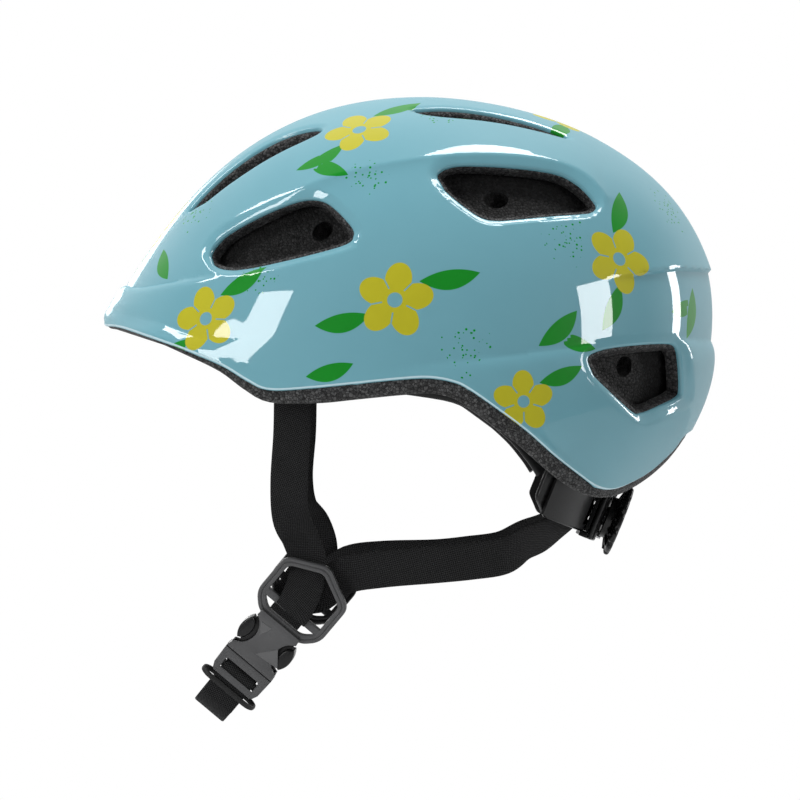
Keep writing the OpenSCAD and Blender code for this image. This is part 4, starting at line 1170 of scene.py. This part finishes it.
# %% Stops of the straps
# Middle of the strap ring, how far the chin strap runs forwards and how far it leans in
CHIN_Y, CHIN_Z, CHIN_X, CHIN_TURN, LEAN = -53.7, -79.7, 46.0, 40.0, 12.0
# Middle of the nape arc and its tilt, and the radius of the cradle's inside
DIAL_Y, DIAL_Z, TILT, CRADLE_R = 1.5, -19.9, 22.0, 64.5
WEB_W, WEB_T = 15.0, 1.3
# Thickness of a strap ring, where its bar lies, and how much higher the far ring hangs
RING_T, BAR_U, FAR_RISE = 3.4, 6.0, 5


def chin_world(x, u, v):
    """Chin strap frame to world: u down along the strap, v across it."""
    c, s = turned(CHIN_TURN)
    return (x, CHIN_Y - u * s + v * c, CHIN_Z - u * c - v * s)


def buckle_world(w, u, v, rise=0.0):
    """Buckle frame to world: w out of the cheek, u along the strap, v across it."""
    c, s = turned(LEAN)
    return chin_world(CHIN_X + w * c - u * s, u * c + w * s - rise, v)


def nape_world(x, out, up):
    """Nape frame to world: out behind the middle of the arc, up along its axis."""
    c, s = turned(TILT)
    return (x, DIAL_Y + out * c + up * s, DIAL_Z - out * s + up * c)


def nape_arc(r, angle, up):
    """The same, by radius and angle round the axis."""
    c, s = turned(angle)
    return nape_world(r * s, r * c, up)


def direction(to_world, *vector):
    return tuple(np.subtract(to_world(*vector), to_world(0, 0, 0)))


def ring_stop(depth, u, v, rise):
    return (*buckle_world(-depth, u, v, rise), *direction(buckle_world, 1, 0, 0))


def nape_stop(angle, up):
    c, s = turned(angle)
    return (*nape_arc(CRADLE_R - 1.0, angle, up), *direction(nape_world, s, c, 0))


RING_BACK = RING_T / 2 + WEB_T / 2 + 0.35
REAR_BACK = RING_BACK + WEB_T + 0.8


def front_stops(rise):
    return [
        (68, -57, 13.5, 1, 0, 0), (68, -57, 0, 1, 0, 0), (66.8, -57.3, -14, 1, 0, 0),
        (62.5, -58.5, -32, 1, 0, 0), (54, -58 + 0.3 * rise, -46.5 + 0.4 * rise, 1, 0, 0),
        ring_stop(RING_BACK + 0.5, -18, -16, rise), ring_stop(RING_BACK + 0.2, -13, -8, rise),
        ring_stop(0.6, -6.5, -3.5, rise), ring_stop(-1.7, 0, -1, rise),
        ring_stop(-2.4, BAR_U - 1.4, 0, rise), ring_stop(-2.3, BAR_U + 1, 0, rise),
    ]


def rear_stops(rise):
    return [
        ring_stop(REAR_BACK, -0.5, -12, rise), ring_stop(REAR_BACK, -1.6, -4, rise),
        ring_stop(REAR_BACK, -4, 3, rise),
        (43.6, -37 + 0.3 * rise, -70.2 + 0.5 * rise, 1, 0, 0),
        (47, -22 + 0.1 * rise, -67.4 + 0.3 * rise, 1, 0, 0), (51, 0, -65.4, 1, 0, 0),
        (51.6, 14, -64, 1, 0, 0), (49.4, 27, -62, 0.86, 0.5, -0.1), nape_stop(44, -21.5),
        nape_stop(36, -16), nape_stop(28, -9), nape_stop(21, -4.4), nape_stop(18.5, -2.6),
    ]


for strap, stops in (("front", front_stops), ("rear", rear_stops)):
    for side, rise, sign in (("left", 0, 1), ("right", FAR_RISE, -1)):
        route = smooth_line(stops(rise), 7)
        shape = bmesh.new()
        sweep(shape, strap_rows(route[:, :3] * (sign, 1, 1), route[:, 3:] * (sign, 1, 1),
                                stadium(WEB_W, WEB_T)))
        finish_piece(f"{strap}_webbing_{side}", shape, "helmet", webbing,
                     [f"strap_{strap}_{side}"], angle=60)

# %% [markdown]
# ## The chin strap
# One length of webbing: its tail lies on the outside of the buckle, the strap turns
# round the bar of the plug, crosses under the chin and ends at the ring of the other
# side.

# %% Chin strap route
# Bar of the plug that the strap turns round, and how far from its middle the strap runs
PLUG_BAR_U, BAR_H, BAR_W = 40.4, 2.6, 2.8
LAP = math.hypot(BAR_H, BAR_W) / 2 + WEB_T / 2 + 0.2


def on_buckle(p, u):
    c, s = turned(LEAN)
    return (CHIN_X + p * c - u * s, u * c + p * s)


def on_divider(p, u):
    x, down = on_buckle(p, u)
    return (-x, down - FAR_RISE)


under_chin = smooth_line(
    [on_buckle(-LAP, 51.5), (24, 57), (8, 59.4), (-10, 58), (-26, 51.5), (-37, 36),
     on_divider(-RING_BACK, 16), on_divider(-RING_BACK, BAR_U + 1.6)], 10)
turn_round = [on_buckle(LAP * math.cos(a), PLUG_BAR_U - LAP * math.sin(a))
              for a in np.linspace(0, math.pi, 13)]
tail = [on_buckle(LAP, u) for u in (54, 51, 48, 45, 42)]
chin_points = np.array([*tail, *turn_round, on_buckle(-LAP, 43), on_buckle(-LAP, 47), *under_chin])
chin_way = unit_rows(np.gradient(chin_points, axis=0))
shape = bmesh.new()
sweep(shape, [[chin_world(x - du * up, down + dx * up, across)
               for across, up in stadium(WEB_W, WEB_T)]
              for (x, down), (dx, du) in zip(chin_points, chin_way)])
finish_piece("chin_webbing", shape, "helmet", webbing, ["chin_strap"], angle=60)

# %% [markdown]
# ## Buckle and strap rings
# The ring has a raised outer rim, a groove and a raised inner rim. The body behind it is
# two walls with a hollow between, where the sprung arms of the plug go in. Its flat
# parts start as an outline that is extruded and bevelled.


# %% Flat mouldings and the five cornered ring
def rounded(points, r, n):
    """A closed outline with its corners rounded, each by n steps."""
    points = np.array(points, float)
    out = []
    for i, b in enumerate(points):
        a = b + unit_rows(points[i - 1] - b) * r
        d = b + unit_rows(points[(i + 1) % len(points)] - b) * r
        for t in np.linspace(0, 1, n + 1):
            out.append((1 - t) ** 2 * a + 2 * (1 - t) * t * b + t * t * d)
    return np.array(out)


def plate(shape, outline, low, high, bevel=0.2, segments=2):
    """A flat moulding from an outline (u, v), between two heights."""
    made = bmesh.ops.create_circle(shape, cap_ends=True, segments=len(outline), radius=1)["verts"]
    for vert, (u, v) in zip(made, outline):
        vert.co = (low, u, v)
    face = made[0].link_faces[0]
    top = bmesh.ops.extrude_face_region(shape, geom=[face])["geom"]
    lifted = [g for g in top if isinstance(g, bmesh.types.BMVert)]
    bmesh.ops.translate(shape, verts=lifted, vec=(high - low, 0, 0))
    faces = {f for v in made + lifted for f in v.link_faces}
    bmesh.ops.recalc_face_normals(shape, faces=list(faces))
    rims = [e for f in faces if len(f.verts) > 4 or abs(f.normal.x) > 0.9 for e in f.edges]
    if bevel:
        soften_edges(shape, list(dict.fromkeys(rims)), bevel, segments)


def to_world(shape, place):
    """Moves a shape from its own frame, by a function of three numbers."""
    for vert in shape.verts:
        vert.co = place(*vert.co)


RING_RIM, HALF_W = 3.4, 16.4


def ring_corners(g):
    """The ring's outline, moved inwards by g."""
    return [(-18 + 1.15 * g, 0), (-9.5 + 0.5 * g, -HALF_W + g), (8.4 - 0.3 * g, -HALF_W + g),
            (14.5 - g, -10.5 + 0.6 * g), (14.5 - g, 10.5 - 0.6 * g),
            (8.4 - 0.3 * g, HALF_W - g), (-9.5 + 0.5 * g, HALF_W - g)]


# Share of the way from the outer to the inner outline, and height
RING_SECTION = [(0, -1.25), (0, 1.25), (0.04, 1.52), (0.13, 1.7), (0.33, 1.7), (0.4, 1.55),
                (0.42, 1.2), (0.52, 1.2), (0.54, 1.5), (0.6, 1.6), (0.86, 1.6), (0.96, 1.45),
                (1, 1.2)]
RING_SECTION += [(s, -h) for s, h in RING_SECTION[:1:-1]]


def strap_ring(shape):
    outer, inside = rounded(ring_corners(0), 3.4, 8), rounded(ring_corners(RING_RIM), 2.2, 8)
    sweep(shape, [[(h, *(a + (b - a) * s)) for s, h in RING_SECTION]
                  for a, b in zip(outer, inside)], closed=True)
    bar = rounded([(-1.6, -1.5), (1.6, -1.5), (1.6, 1.5), (-1.6, 1.5)], 0.7, 3)
    sweep(shape, [[(w, BAR_U + u, v) for u, w in bar] for v in np.linspace(-13.8, 13.8, 9)])


print("ring section", len(RING_SECTION), "points")

# %% [markdown]
# The notch in each side of the body is an arc, and the thumb wing of the plug fills it.

# %% Socket, plug and wings
BODY_T, BODY_W, WING_U, NOTCH_R, NOTCH_V = 8.0, 11.6, 22.5, 7.9, -13.2


def mirrored(half):
    """A closed outline from its half, which lies on one side of the strap."""
    return [*half, *[(u, -v) for u, v in reversed(half)]]


def block(u0, u1, half_width):
    return mirrored([(u0, -half_width), (u1, -half_width)])


notch = [(WING_U + NOTCH_R * math.cos(a), NOTCH_V + NOTCH_R * math.sin(a))
         for a in np.radians(np.linspace(156.1, 16.9, 14))]
body_outline = mirrored([(12.5, -9.6), *notch, (33, -BODY_W)])
socket = bmesh.new()
strap_ring(socket)
for side in (-1, 1):
    low, high = sorted((side * 2.4, side * BODY_T / 2))
    plate(socket, body_outline, low, high, 0.3)
    wall = [(29.6, side * 10.4), (33, side * 10.4), (33, side * 11.4), (29.6, side * 10.9)]
    plate(socket, wall, -2.5, 2.5, 0)
plate(socket, block(12.6, 15.9, 9.4), -2.5, 2.5, 0)
to_world(socket, buckle_world)
finish_piece("buckle_body", socket, "helmet", grey_plastic,
             ["buckle_socket"], angle=35)

facets = bmesh.new()
for corners in ([(16.4, -6.9), (15.9, -1.6), (21.6, -3.9)],
                [(28.3, -0.6), (20.9, 5.4), (27.2, 10.2)]):
    for side in (1, -1):
        low, high = sorted((side * (BODY_T / 2 - 0.2), side * (BODY_T / 2 + 0.22)))
        plate(facets, corners, low, high, segments=1)
to_world(facets, buckle_world)
finish_piece("buckle_facets", facets, "helmet", facet_grey, angle=20)

plug = bmesh.new()
plug_outline = mirrored([(33.3, -BODY_W), (41.4, -11.2), (43.6, -10.2), (44.4, -9.2),
                         (44.4, -8.2), (37.6, -8.2), (36.9, -7.5)])
plate(plug, plug_outline, -BODY_T / 2, BODY_T / 2, 0.55, 3)
beam = rounded([(-BAR_H / 2, -BAR_W / 2), (BAR_H / 2, -BAR_W / 2),
                (BAR_H / 2, BAR_W / 2), (-BAR_H / 2, BAR_W / 2)], 0.5, 3)
sweep(plug, [[(w, PLUG_BAR_U + u, v) for w, u in beam] for v in np.linspace(-8.6, 8.6, 7)])
plate(plug, mirrored([(18.5, -1.4), (33.5, -2.4)]), -2, 2)
plate(plug, block(41.4, 44.2, 8.6), LAP + WEB_T / 2 + 0.15, BODY_T / 2 + 0.1)
to_world(plug, buckle_world)
finish_piece("plug_frame", plug, "helmet", grey_plastic,
             ["buckle_plug"], angle=35)


def circle_share(far, near, outer_r, inner_r):
    """Half of a thumb wing's outline: what a circle round far and one round near share."""
    angles = np.radians(np.linspace(-58, 58, 21))
    outside = [(WING_U + outer_r * math.sin(a), far + outer_r * math.cos(a)) for a in angles]
    reach = [p for p in outside if math.hypot(p[0] - WING_U, p[1] - near) < inner_r]
    span = np.linspace(reach[-1][0], reach[0][0], 12)
    inside = [(u, near - math.sqrt(inner_r**2 - (u - WING_U) ** 2)) for u in span]
    return reach + inside[1:-1]


thumb = circle_share(4.4, 14.6, 8.2, 7.35)
arm = [(33.2, 6.2), (33.2, 7.8), (WING_U, 10.4), (16.5, 9.4), (17.1, 5.6), (WING_U, 4.4)]
for name, side in (("front", -1), ("rear", 1)):
    wing = bmesh.new()
    plate(wing, [(u, side * v) for u, v in thumb], -BODY_T / 2 + 0.3, BODY_T / 2 - 0.3, 1.1, 4)
    plate(wing, [(u, side * v) for u, v in arm], -2, 2)
    to_world(wing, buckle_world)
    finish_piece(f"wing_{name}", wing, f"prong_{name}", black_plastic,
                 [f"prong_{name}"], angle=40)

# %% [markdown]
# The ring on the far side has no buckle. The keeper is a loop of rubber cord round the
# strap and its tail, and it slides along them.

# %% Far ring and keeper loop
divider = bmesh.new()
strap_ring(divider)
to_world(divider, lambda w, u, v: np.multiply(buckle_world(w, u, v, FAR_RISE), (-1, 1, 1)))
bmesh.ops.recalc_face_normals(divider, faces=divider.faces)
finish_piece("far_ring", divider, "helmet", black_plastic,
             ["chin_divider"], angle=35)

keeper = bmesh.new()
KEEP_U, KEEP_V, KEEP_W = 47.0, WEB_W / 2 + 0.8, LAP + WEB_T / 2 + 0.4 + 0.75
loop = [(KEEP_W * math.cos(a), KEEP_V + KEEP_W * math.sin(a))
        for a in np.linspace(0, math.pi, 15)]
loop += [(-w, -v) for w, v in loop]
loop_way = unit_rows(np.roll(loop, -1, 0) - np.roll(loop, 1, 0))
cord = [(1.15 * math.cos(a), 0.62 * math.sin(a))
        for a in np.linspace(0, 2 * math.pi, 12, endpoint=False)]
sweep(keeper, [[(w + dv * out, KEEP_U + along, v - dw * out) for along, out in cord]
               for (w, v), (dw, dv) in zip(loop, loop_way)], closed=True)
to_world(keeper, buckle_world)
finish_piece("keeper_loop", keeper, "keeper", cord_rubber, ["keeper_ring"])

# %% [markdown]
# ## The cradle at the nape
# The cradle is a thin curved moulding with windows, made flat in angle and height and
# then bent round the head. The strips that the dial winds slide between it and the
# housing, and a stem joins it to the foam.


# %% Curved plates of the size adjuster
def nape_points(r, angle, up):
    """As nape_arc, for arrays."""
    a = np.radians(angle)
    return np.stack(nape_world(r * np.sin(a), r * np.cos(a), up), -1)


class Patch(Sheet):
    """A sheet from a flat grid: turn from low to high degrees, fall from 0 to 1."""

    def __init__(self, surface, across, rows, low, high):
        self.surface, self.shape = surface, bmesh.new()
        bmesh.ops.create_grid(self.shape, x_segments=across, y_segments=rows, size=1)
        self.shape.verts.ensure_lookup_table()
        x, y = np.array([v.co[:2] for v in self.shape.verts]).T
        self.turn, self.fall = low + (x + 1) / 2 * (high - low), (y + 1) / 2


def thicken(shape, wall, bevel):
    """Gives a sheet a wall, outwards from the axis that the strips turn about."""
    axis, centre = Vector(direction(nape_world, 0, 0, 1)), Vector(nape_world(0, 0, 0))
    made = bmesh.ops.extrude_face_region(shape, geom=list(shape.faces))["geom"]
    for vert in (g for g in made if isinstance(g, bmesh.types.BMVert)):
        out = vert.co - centre
        vert.co += (out - axis * out.dot(axis)).normalized() * wall
    bmesh.ops.recalc_face_normals(shape, faces=shape.faces)
    rims = [e for e in shape.edges
            if len(e.link_faces) == 2 and e.calc_face_angle() > math.radians(50)]
    soften_edges(shape, rims, bevel, 2)
    bmesh.ops.recalc_face_normals(shape, faces=shape.faces)


print("nape arc about", [round(x, 1) for x in nape_world(0, 0, 0)])

# %% [markdown]
# The windows of the cradle save weight and let air to the neck. They and the outline
# are drawn flat, as arc length and height, and cut with the same trim as the vents.

# %% Cradle and stem
# Half the cradle's height and reach, its corner cut, its wall, and mm in a degree of arc
CRADLE_UP, CRADLE_SPAN, CORNER, CRADLE_T = 9.5, 50.0, 8.4, 2.0
arc = math.radians(1) * 65.5
edge = CRADLE_SPAN * arc
cradle_edge = rounded(
    [(-edge, CRADLE_UP), (-edge, -3.4), (-edge + CORNER, -CRADLE_UP),
     (edge - CORNER, -CRADLE_UP), (edge, -3.4), (edge, CRADLE_UP)], 1.6, 4)
windows = []
for middle, height, width, depth in ((41, 0.5, 4, 12), (31, 1.5, 6.5, 11), (21, 3.6, 5, 7)):
    for side in (-1, 1):
        s, w, lean = side * middle * arc, width / 2, 0.9 * side
        low, high = height - depth / 2, height + depth / 2
        windows.append(rounded([(s - w + lean, high), (s - w - lean, low),
                                (s + w - lean, low), (s + w + lean, high)], 1.2, 4))


def flat_place(points):
    """Arc length and height of points on the cradle."""
    c, s = turned(TILT)
    y, z = points[:, 1] - DIAL_Y, points[:, 2] - DIAL_Z
    out, up = y * c - z * s, y * s + z * c
    return np.stack([np.degrees(np.arctan2(points[:, 0], out)) * arc, up], -1)


def cradle_cut(points):
    flat = flat_place(points)
    return np.minimum.reduce(
        [-distance_to(cradle_edge, flat), *(distance_to(w, flat) for w in windows)])


def cradle_surface(turn, fall):
    return nape_points(CRADLE_R, turn, -CRADLE_UP - 1 + 21 * fall)


cradle = Patch(cradle_surface, 150, 30, -51.5, 51.5)
cradle.trim(cradle_cut)
bmesh.ops.dissolve_degenerate(cradle.shape, dist=0.02, edges=cradle.shape.edges)
thicken(cradle.shape, CRADLE_T, 0.35)

# The stem, as (distance from the axis, height)
stem_line = smooth_line(
    [(65.1, 8.5), (66.3, 26), (67.4, 41), (66.9, 46.5), (64.5, 51.6), (62.3, 56.6)], 5)
sweep(cradle.shape, [
    [nape_world(across, out + n * way[1], up - n * way[0]) for across, n in stadium(12, 1.8)]
    for (out, up), way in zip(stem_line, unit_rows(np.gradient(stem_line, axis=0)))])
finish_piece("cradle", cradle.shape, "helmet", black_plastic,
             ["rear_cradle"], angle=45)

# %% [markdown]
# ## The housing and the dial
# The housing covers the racks with a front wall and two ledges. The dial is a flared
# disc on a hub, with grip scallops round its rim, so that a thumb can turn it. The
# housing is built straight from blocks and then bent round the nape.

# %% Housing
# Out to where the strips reach; the cover's radius, wall, half height and half span
RACK_OUT, COVER_R, COVER_T, COVER_UP, COVER_SPAN = 66.7, 70.35, 2.0, 11.2, 14.5


def long_block(shape, r0, r1, z0, z1, reach, bevel):
    """A straight block with soft edges: x is the angle it will be bent through."""
    made = bmesh.ops.create_cube(shape, size=1)["verts"]
    for vert in made:
        x, y, z = vert.co
        vert.co = (x * 2 * reach, (r0 + r1) / 2 + y * (r1 - r0), (z0 + z1) / 2 + z * (z1 - z0))
    soften_edges(shape, list(dict.fromkeys(e for v in made for e in v.link_edges)), bevel, 3)


cover = bmesh.new()
cover_back = COVER_R + COVER_T
long_block(cover, COVER_R, cover_back, -COVER_UP, COVER_UP, COVER_SPAN, 0.8)
for low, high in ((8.95, COVER_UP), (-COVER_UP, -8.95)):
    long_block(cover, RACK_OUT, COVER_R + 0.1, low, high, COVER_SPAN, 0.4)
for low, high in ((6.4, 8.2), (-8.2, -6.4)):
    long_block(cover, cover_back - 0.6, cover_back + 0.35, low, high, 11, 0.3)
long_edges = [e for e in cover.edges if abs(e.verts[0].co.x - e.verts[1].co.x) > 10]
bmesh.ops.subdivide_edges(cover, edges=long_edges, cuts=11, use_grid_fill=True)
to_world(cover, lambda angle, r, up: nape_arc(r, angle, up))
bmesh.ops.recalc_face_normals(cover, faces=cover.faces)
finish_piece("housing", cover, "helmet", black_plastic,
             ["dial_cover"], angle=40)

# %% [markdown]
# The dial is made as on a lathe: one profile is carried round its axis, and a wave on
# the radius presses the scallops into the rim. A rib runs out between each two of them.

# %% Dial with its scallops
SCALLOPS, SCALLOP_DEEP = 12, 1.25
disc_back = cover_back + 0.5 + 3.4
# Radius, distance behind disc_back, and share of the scallops' depth
DIAL_PROFILE = [
    (3.9, -3.85, 0), (3.9, -3.4, 0), (8.2, -3.4, 0), (8.6, -3.0, 0), (8.6, -0.6, 0),
    (9.2, 0.1, 0), (11.4, 0.5, 0.2), (13.4, 0.9, 0.7), (14.2, 1.3, 1), (14.6, 1.8, 1),
    (14.6, 2.7, 1), (14.2, 3.2, 1), (13.6, 3.4, 1), (11.6, 3.4, 0.6), (10.6, 3.1, 0.2),
    (10.1, 2.4, 0), (6, 2.3, 0), (2.6, 2.3, 0), (2.2, 2.0, 0), (2.0, 1.2, 0),
]
RIB = [(0.45, -1.0), (0.45, 1.5), (-0.45, 1.5), (-0.45, -1.0)]
dial = bmesh.new()
turns = np.linspace(0, 2 * math.pi, 192, endpoint=False)
grip = np.clip(np.cos(turns * SCALLOPS + math.pi), -0.1, 1) ** 2 * SCALLOP_DEEP
sweep(dial, [[nape_world((r - g * share) * math.cos(a), disc_back + d,
                         (r - g * share) * math.sin(a)) for a, g in zip(turns, grip)]
             for r, d, share in DIAL_PROFILE])
for k in range(SCALLOPS):
    c, s = turned(360 * k / SCALLOPS)
    sweep(dial, [[nape_world(c * r - s * x, disc_back - 0.2 + (r - 8.5) * 0.16 + d * share,
                             s * r + c * x) for x, d in RIB]
                 for r, share in ((8.3, 1), (10.5, 0.75), (12.8, 0.45))])
finish_piece("dial", dial, "dial", black_plastic, ["dial_knob"], angle=35)

# %% [markdown]
# ## The head band
# A nylon strip runs round the brow inside the foam and down behind the ears, where the
# dial's strips take over. Four snap pins hold it.

# %% Head band
BAND_W, BAND_T, BAND_INSET = 12.0, 1.2, 1.25


def cavity_place(angle, z, inset):
    """A point of the head space's wall, moved inwards: turn from the brow, and height."""
    lift = math.sqrt(1 - (max(0, z - CAVITY_SPRING) / (CAVITY_TOP - CAVITY_SPRING)) ** 2)
    c, s = turned(angle)
    return ((CAVITY_W / 2 - inset) * s * lift, CAVITY_Y - (CAVITY_L / 2 - inset) * c * lift,
            z - inset * (1 - lift))


def cavity_x(y):
    return CAVITY_W / 2 * math.sqrt(1 - ((y - CAVITY_Y) / (CAVITY_L / 2)) ** 2)


band_half = [cavity_place(a, np.interp(a, (0, 36, 60, 84), (31, 27, 17, 9)), BAND_INSET)
             for a in range(0, 85, 12)]
band_half += [(cavity_x(y) - BAND_INSET - off, y, z) for y, z, off in
              ((9, 4.5, 0.1), (22, -3, 0.4), (33, -12.5, 1.2), (40, -21, 2.4), (43.6, -26.6, 3.4))]
band_line = smooth_line([(-x, y, z) for x, y, z in reversed(band_half[1:])] + band_half, 5)
band_face = unit_rows(np.stack([
    band_line[:, 0] / (CAVITY_W / 2) ** 2, (band_line[:, 1] - CAVITY_Y) / (CAVITY_L / 2) ** 2,
    np.maximum(0, band_line[:, 2] - CAVITY_SPRING) / (CAVITY_TOP - CAVITY_SPRING) ** 2], -1))
band = bmesh.new()
sweep(band, strap_rows(band_line, band_face, stadium(BAND_W, BAND_T, 6)))
finish_piece("brow_band", band, "helmet", black_plastic, ["head_band"], angle=60)

# %% [markdown]
# ## The comfort pads
# Each pad is a thin cushion of foam in brushed fabric. It starts a little smaller than
# it ends: a cloth simulation with some pressure inside swells it, as the foam does, and
# how far each point may move is capped, so that the back stays flat on its hook dots.


# %% Fabric and the swelling of a pad
def pad_paint():
    paint = Finish("brushed_fabric")
    where = paint.place()
    knit = paint.cells(where, 1100.0)
    shade = paint.noise(where, 70.0, 4.0, 0.6).ramp(0.3, 0.7)
    paint.set(base_color=paint.mix(shade, (0.013, 0.013, 0.014), (0.024, 0.024, 0.025)),
              roughness=0.95 - knit * 0.1)
    paint.bump(knit, 0.0003, 0.7)
    return paint


pad_fabric = pad_paint()


def pad_shape(columns, rows, surface):
    """A closed cushion: two grids over (u, v), back and face, joined round the edge."""
    shape = bmesh.new()
    for face in (0, 1):
        made = bmesh.ops.create_grid(shape, x_segments=columns, y_segments=rows, size=1)["verts"]
        for vert in made:
            vert.co = surface((vert.co.x + 1) / 2, (vert.co.y + 1) / 2, face)
    bmesh.ops.remove_doubles(shape, verts=shape.verts, dist=0.01)
    bmesh.ops.recalc_face_normals(shape, faces=shape.faces)
    return shape


def corner_pull(u, v):
    """Rounds the corners of a pad: 1 inside, falling to 0 at the edge."""
    return (1 - abs(2 * u - 1) ** 6) ** 0.5 * (1 - abs(2 * v - 1) ** 4) ** 0.5


def swell(piece, pressure, cap):
    """Swells a pad as cloth, and lets no point move further than cap millimetres."""
    scene = bpy.context.scene
    remesh = piece.modifiers.new("remesh", "REMESH")
    remesh.mode, remesh.voxel_size = "VOXEL", 0.0025
    graph = bpy.context.evaluated_depsgraph_get()
    piece.data = bpy.data.meshes.new_from_object(piece.evaluated_get(graph))
    piece.modifiers.clear()
    start = moved = vertex_rows(piece.data)
    cloth = piece.modifiers.new("cloth", "CLOTH")
    cloth.settings.use_pressure = True
    cloth.settings.uniform_pressure_force = pressure
    cloth.settings.effector_weights.gravity = 0
    for step in range(1, 21):
        scene.frame_set(step)
    graph = bpy.context.evaluated_depsgraph_get()
    done = bpy.data.meshes.new_from_object(piece.evaluated_get(graph))
    moved = vertex_rows(done)
    piece.modifiers.clear()
    bpy.data.meshes.remove(done)
    scene.frame_set(1)
    shift = moved - start
    length = np.linalg.norm(shift, axis=1, keepdims=True)
    shift *= np.minimum(1, cap * MM / np.maximum(length, 1e-9))
    piece.data.vertices.foreach_set("co", (start + shift).ravel())
    smoother = piece.modifiers.new("soft", "SUBSURF")
    smoother.levels = smoother.render_levels = 1
    print(piece.name, "swelled by up to", round(float(length.max()) / MM, 1), "mm before the cap")


def add_pad(name, stands_for, columns, rows, surface, cap=1.0):
    shape = pad_shape(columns, rows, surface)
    piece = finish_piece(name, shape, "helmet", pad_fabric, [stands_for])
    piece.parent = None
    swell(piece, 4.0, cap)
    piece.data.materials.clear()
    piece.data.materials.append(pad_fabric.material)
    piece.data.polygons.foreach_set("use_smooth", [True] * len(piece.data.polygons))
    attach(piece, "helmet")


print("pad helpers ready")

# %% [markdown]
# The pads lie on the wall of the head space, on the crown and on the cradle. Each has its
# own surface, as a function of two numbers from 0 to 1 and of the side, back or face.

# %% The five pads
# A pad's back stands off the foam by its hook dots, and at the brow by the band as well
PAD_T, FREE_GAP, DOT_T, BROW_STEP = 5.0, 0.35, 1.2, 1.9
WALL_BACK = FREE_GAP + 0.1 + DOT_T + FREE_GAP


def pad_depth(back, puff, face):
    """How far a pad's back (face 0) or face (1) stands inwards of the foam."""
    return back + 0.9 + (PAD_T - 2.2) * puff * face - 0.55 * puff * (1 - face)


def wall_surface(a0, a1, z0, z1, back):
    def surface(u, v, face):
        puff = corner_pull(u, v)
        squeeze = 0.5 + (u - 0.5) * (0.93 + 0.07 * puff)
        rise = 0.5 + (v - 0.5) * (0.9 + 0.1 * puff)
        depth = pad_depth(back, puff, face)
        return cavity_place(a0 + (a1 - a0) * squeeze, z0 + (z1 - z0) * rise, depth)
    return surface


def crown_surface(u, v, face):
    puff = corner_pull(u, v)
    y = 88 * (u - 0.5)
    x = 33 * (v - 0.5) * (0.7 + 0.3 * math.sin(math.pi * u))
    roof = CAVITY_SPRING + (CAVITY_TOP - CAVITY_SPRING) * math.sqrt(
        1 - (x / (CAVITY_W / 2)) ** 2 - (y / (CAVITY_L / 2)) ** 2)
    depth = pad_depth(WALL_BACK, puff, face)
    return (x, CAVITY_Y + y, roof - depth)


def nape_surface(u, v, face):
    puff = corner_pull(u, v)
    r = CRADLE_R - 1.2 - (PAD_T - 3.0) * puff * face + 0.4 * puff * (1 - face)
    return nape_arc(r, 14.8 * (2 * u - 1), 14.2 * (v - 0.5) + 0.5)


add_pad("brow_pad", "front_pad", 60, 14, wall_surface(-38, 38, 22, 44, WALL_BACK + BROW_STEP))
add_pad("side_pad_left", "left_pad", 30, 16, wall_surface(104, 62, 28, 58, WALL_BACK))
add_pad("side_pad_right", "right_pad", 30, 16, wall_surface(-62, -104, 28, 58, WALL_BACK))
add_pad("roof_pad", "crown_pad", 50, 20, crown_surface)
add_pad("neck_pad", "nape_pad", 24, 12, nape_surface, 0.5)

# %% [markdown]
# ## Finishes of the CAD pieces that stay
# Small parts that are hidden in the mechanism keep their CAD shape. Only their finish
# is made here, from the same materials as their neighbours.

# %% Finish the kept nodes
KEPT = {
    hook_plastic: ["hook_dots"],
    steel: ["dial_screw", "click_spring"],
    black_plastic: ["band_pins", "cradle_pin", "rack_left", "rack_right", "drive_pinion",
                    "strap_anchors", "strap_rivets"],
}
for finish, names in KEPT.items():
    for name in names:
        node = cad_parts[name]
        node.data.materials.clear()
        node.data.materials.append(finish.material)
print("kept", sorted(sum(KEPT.values(), [])))
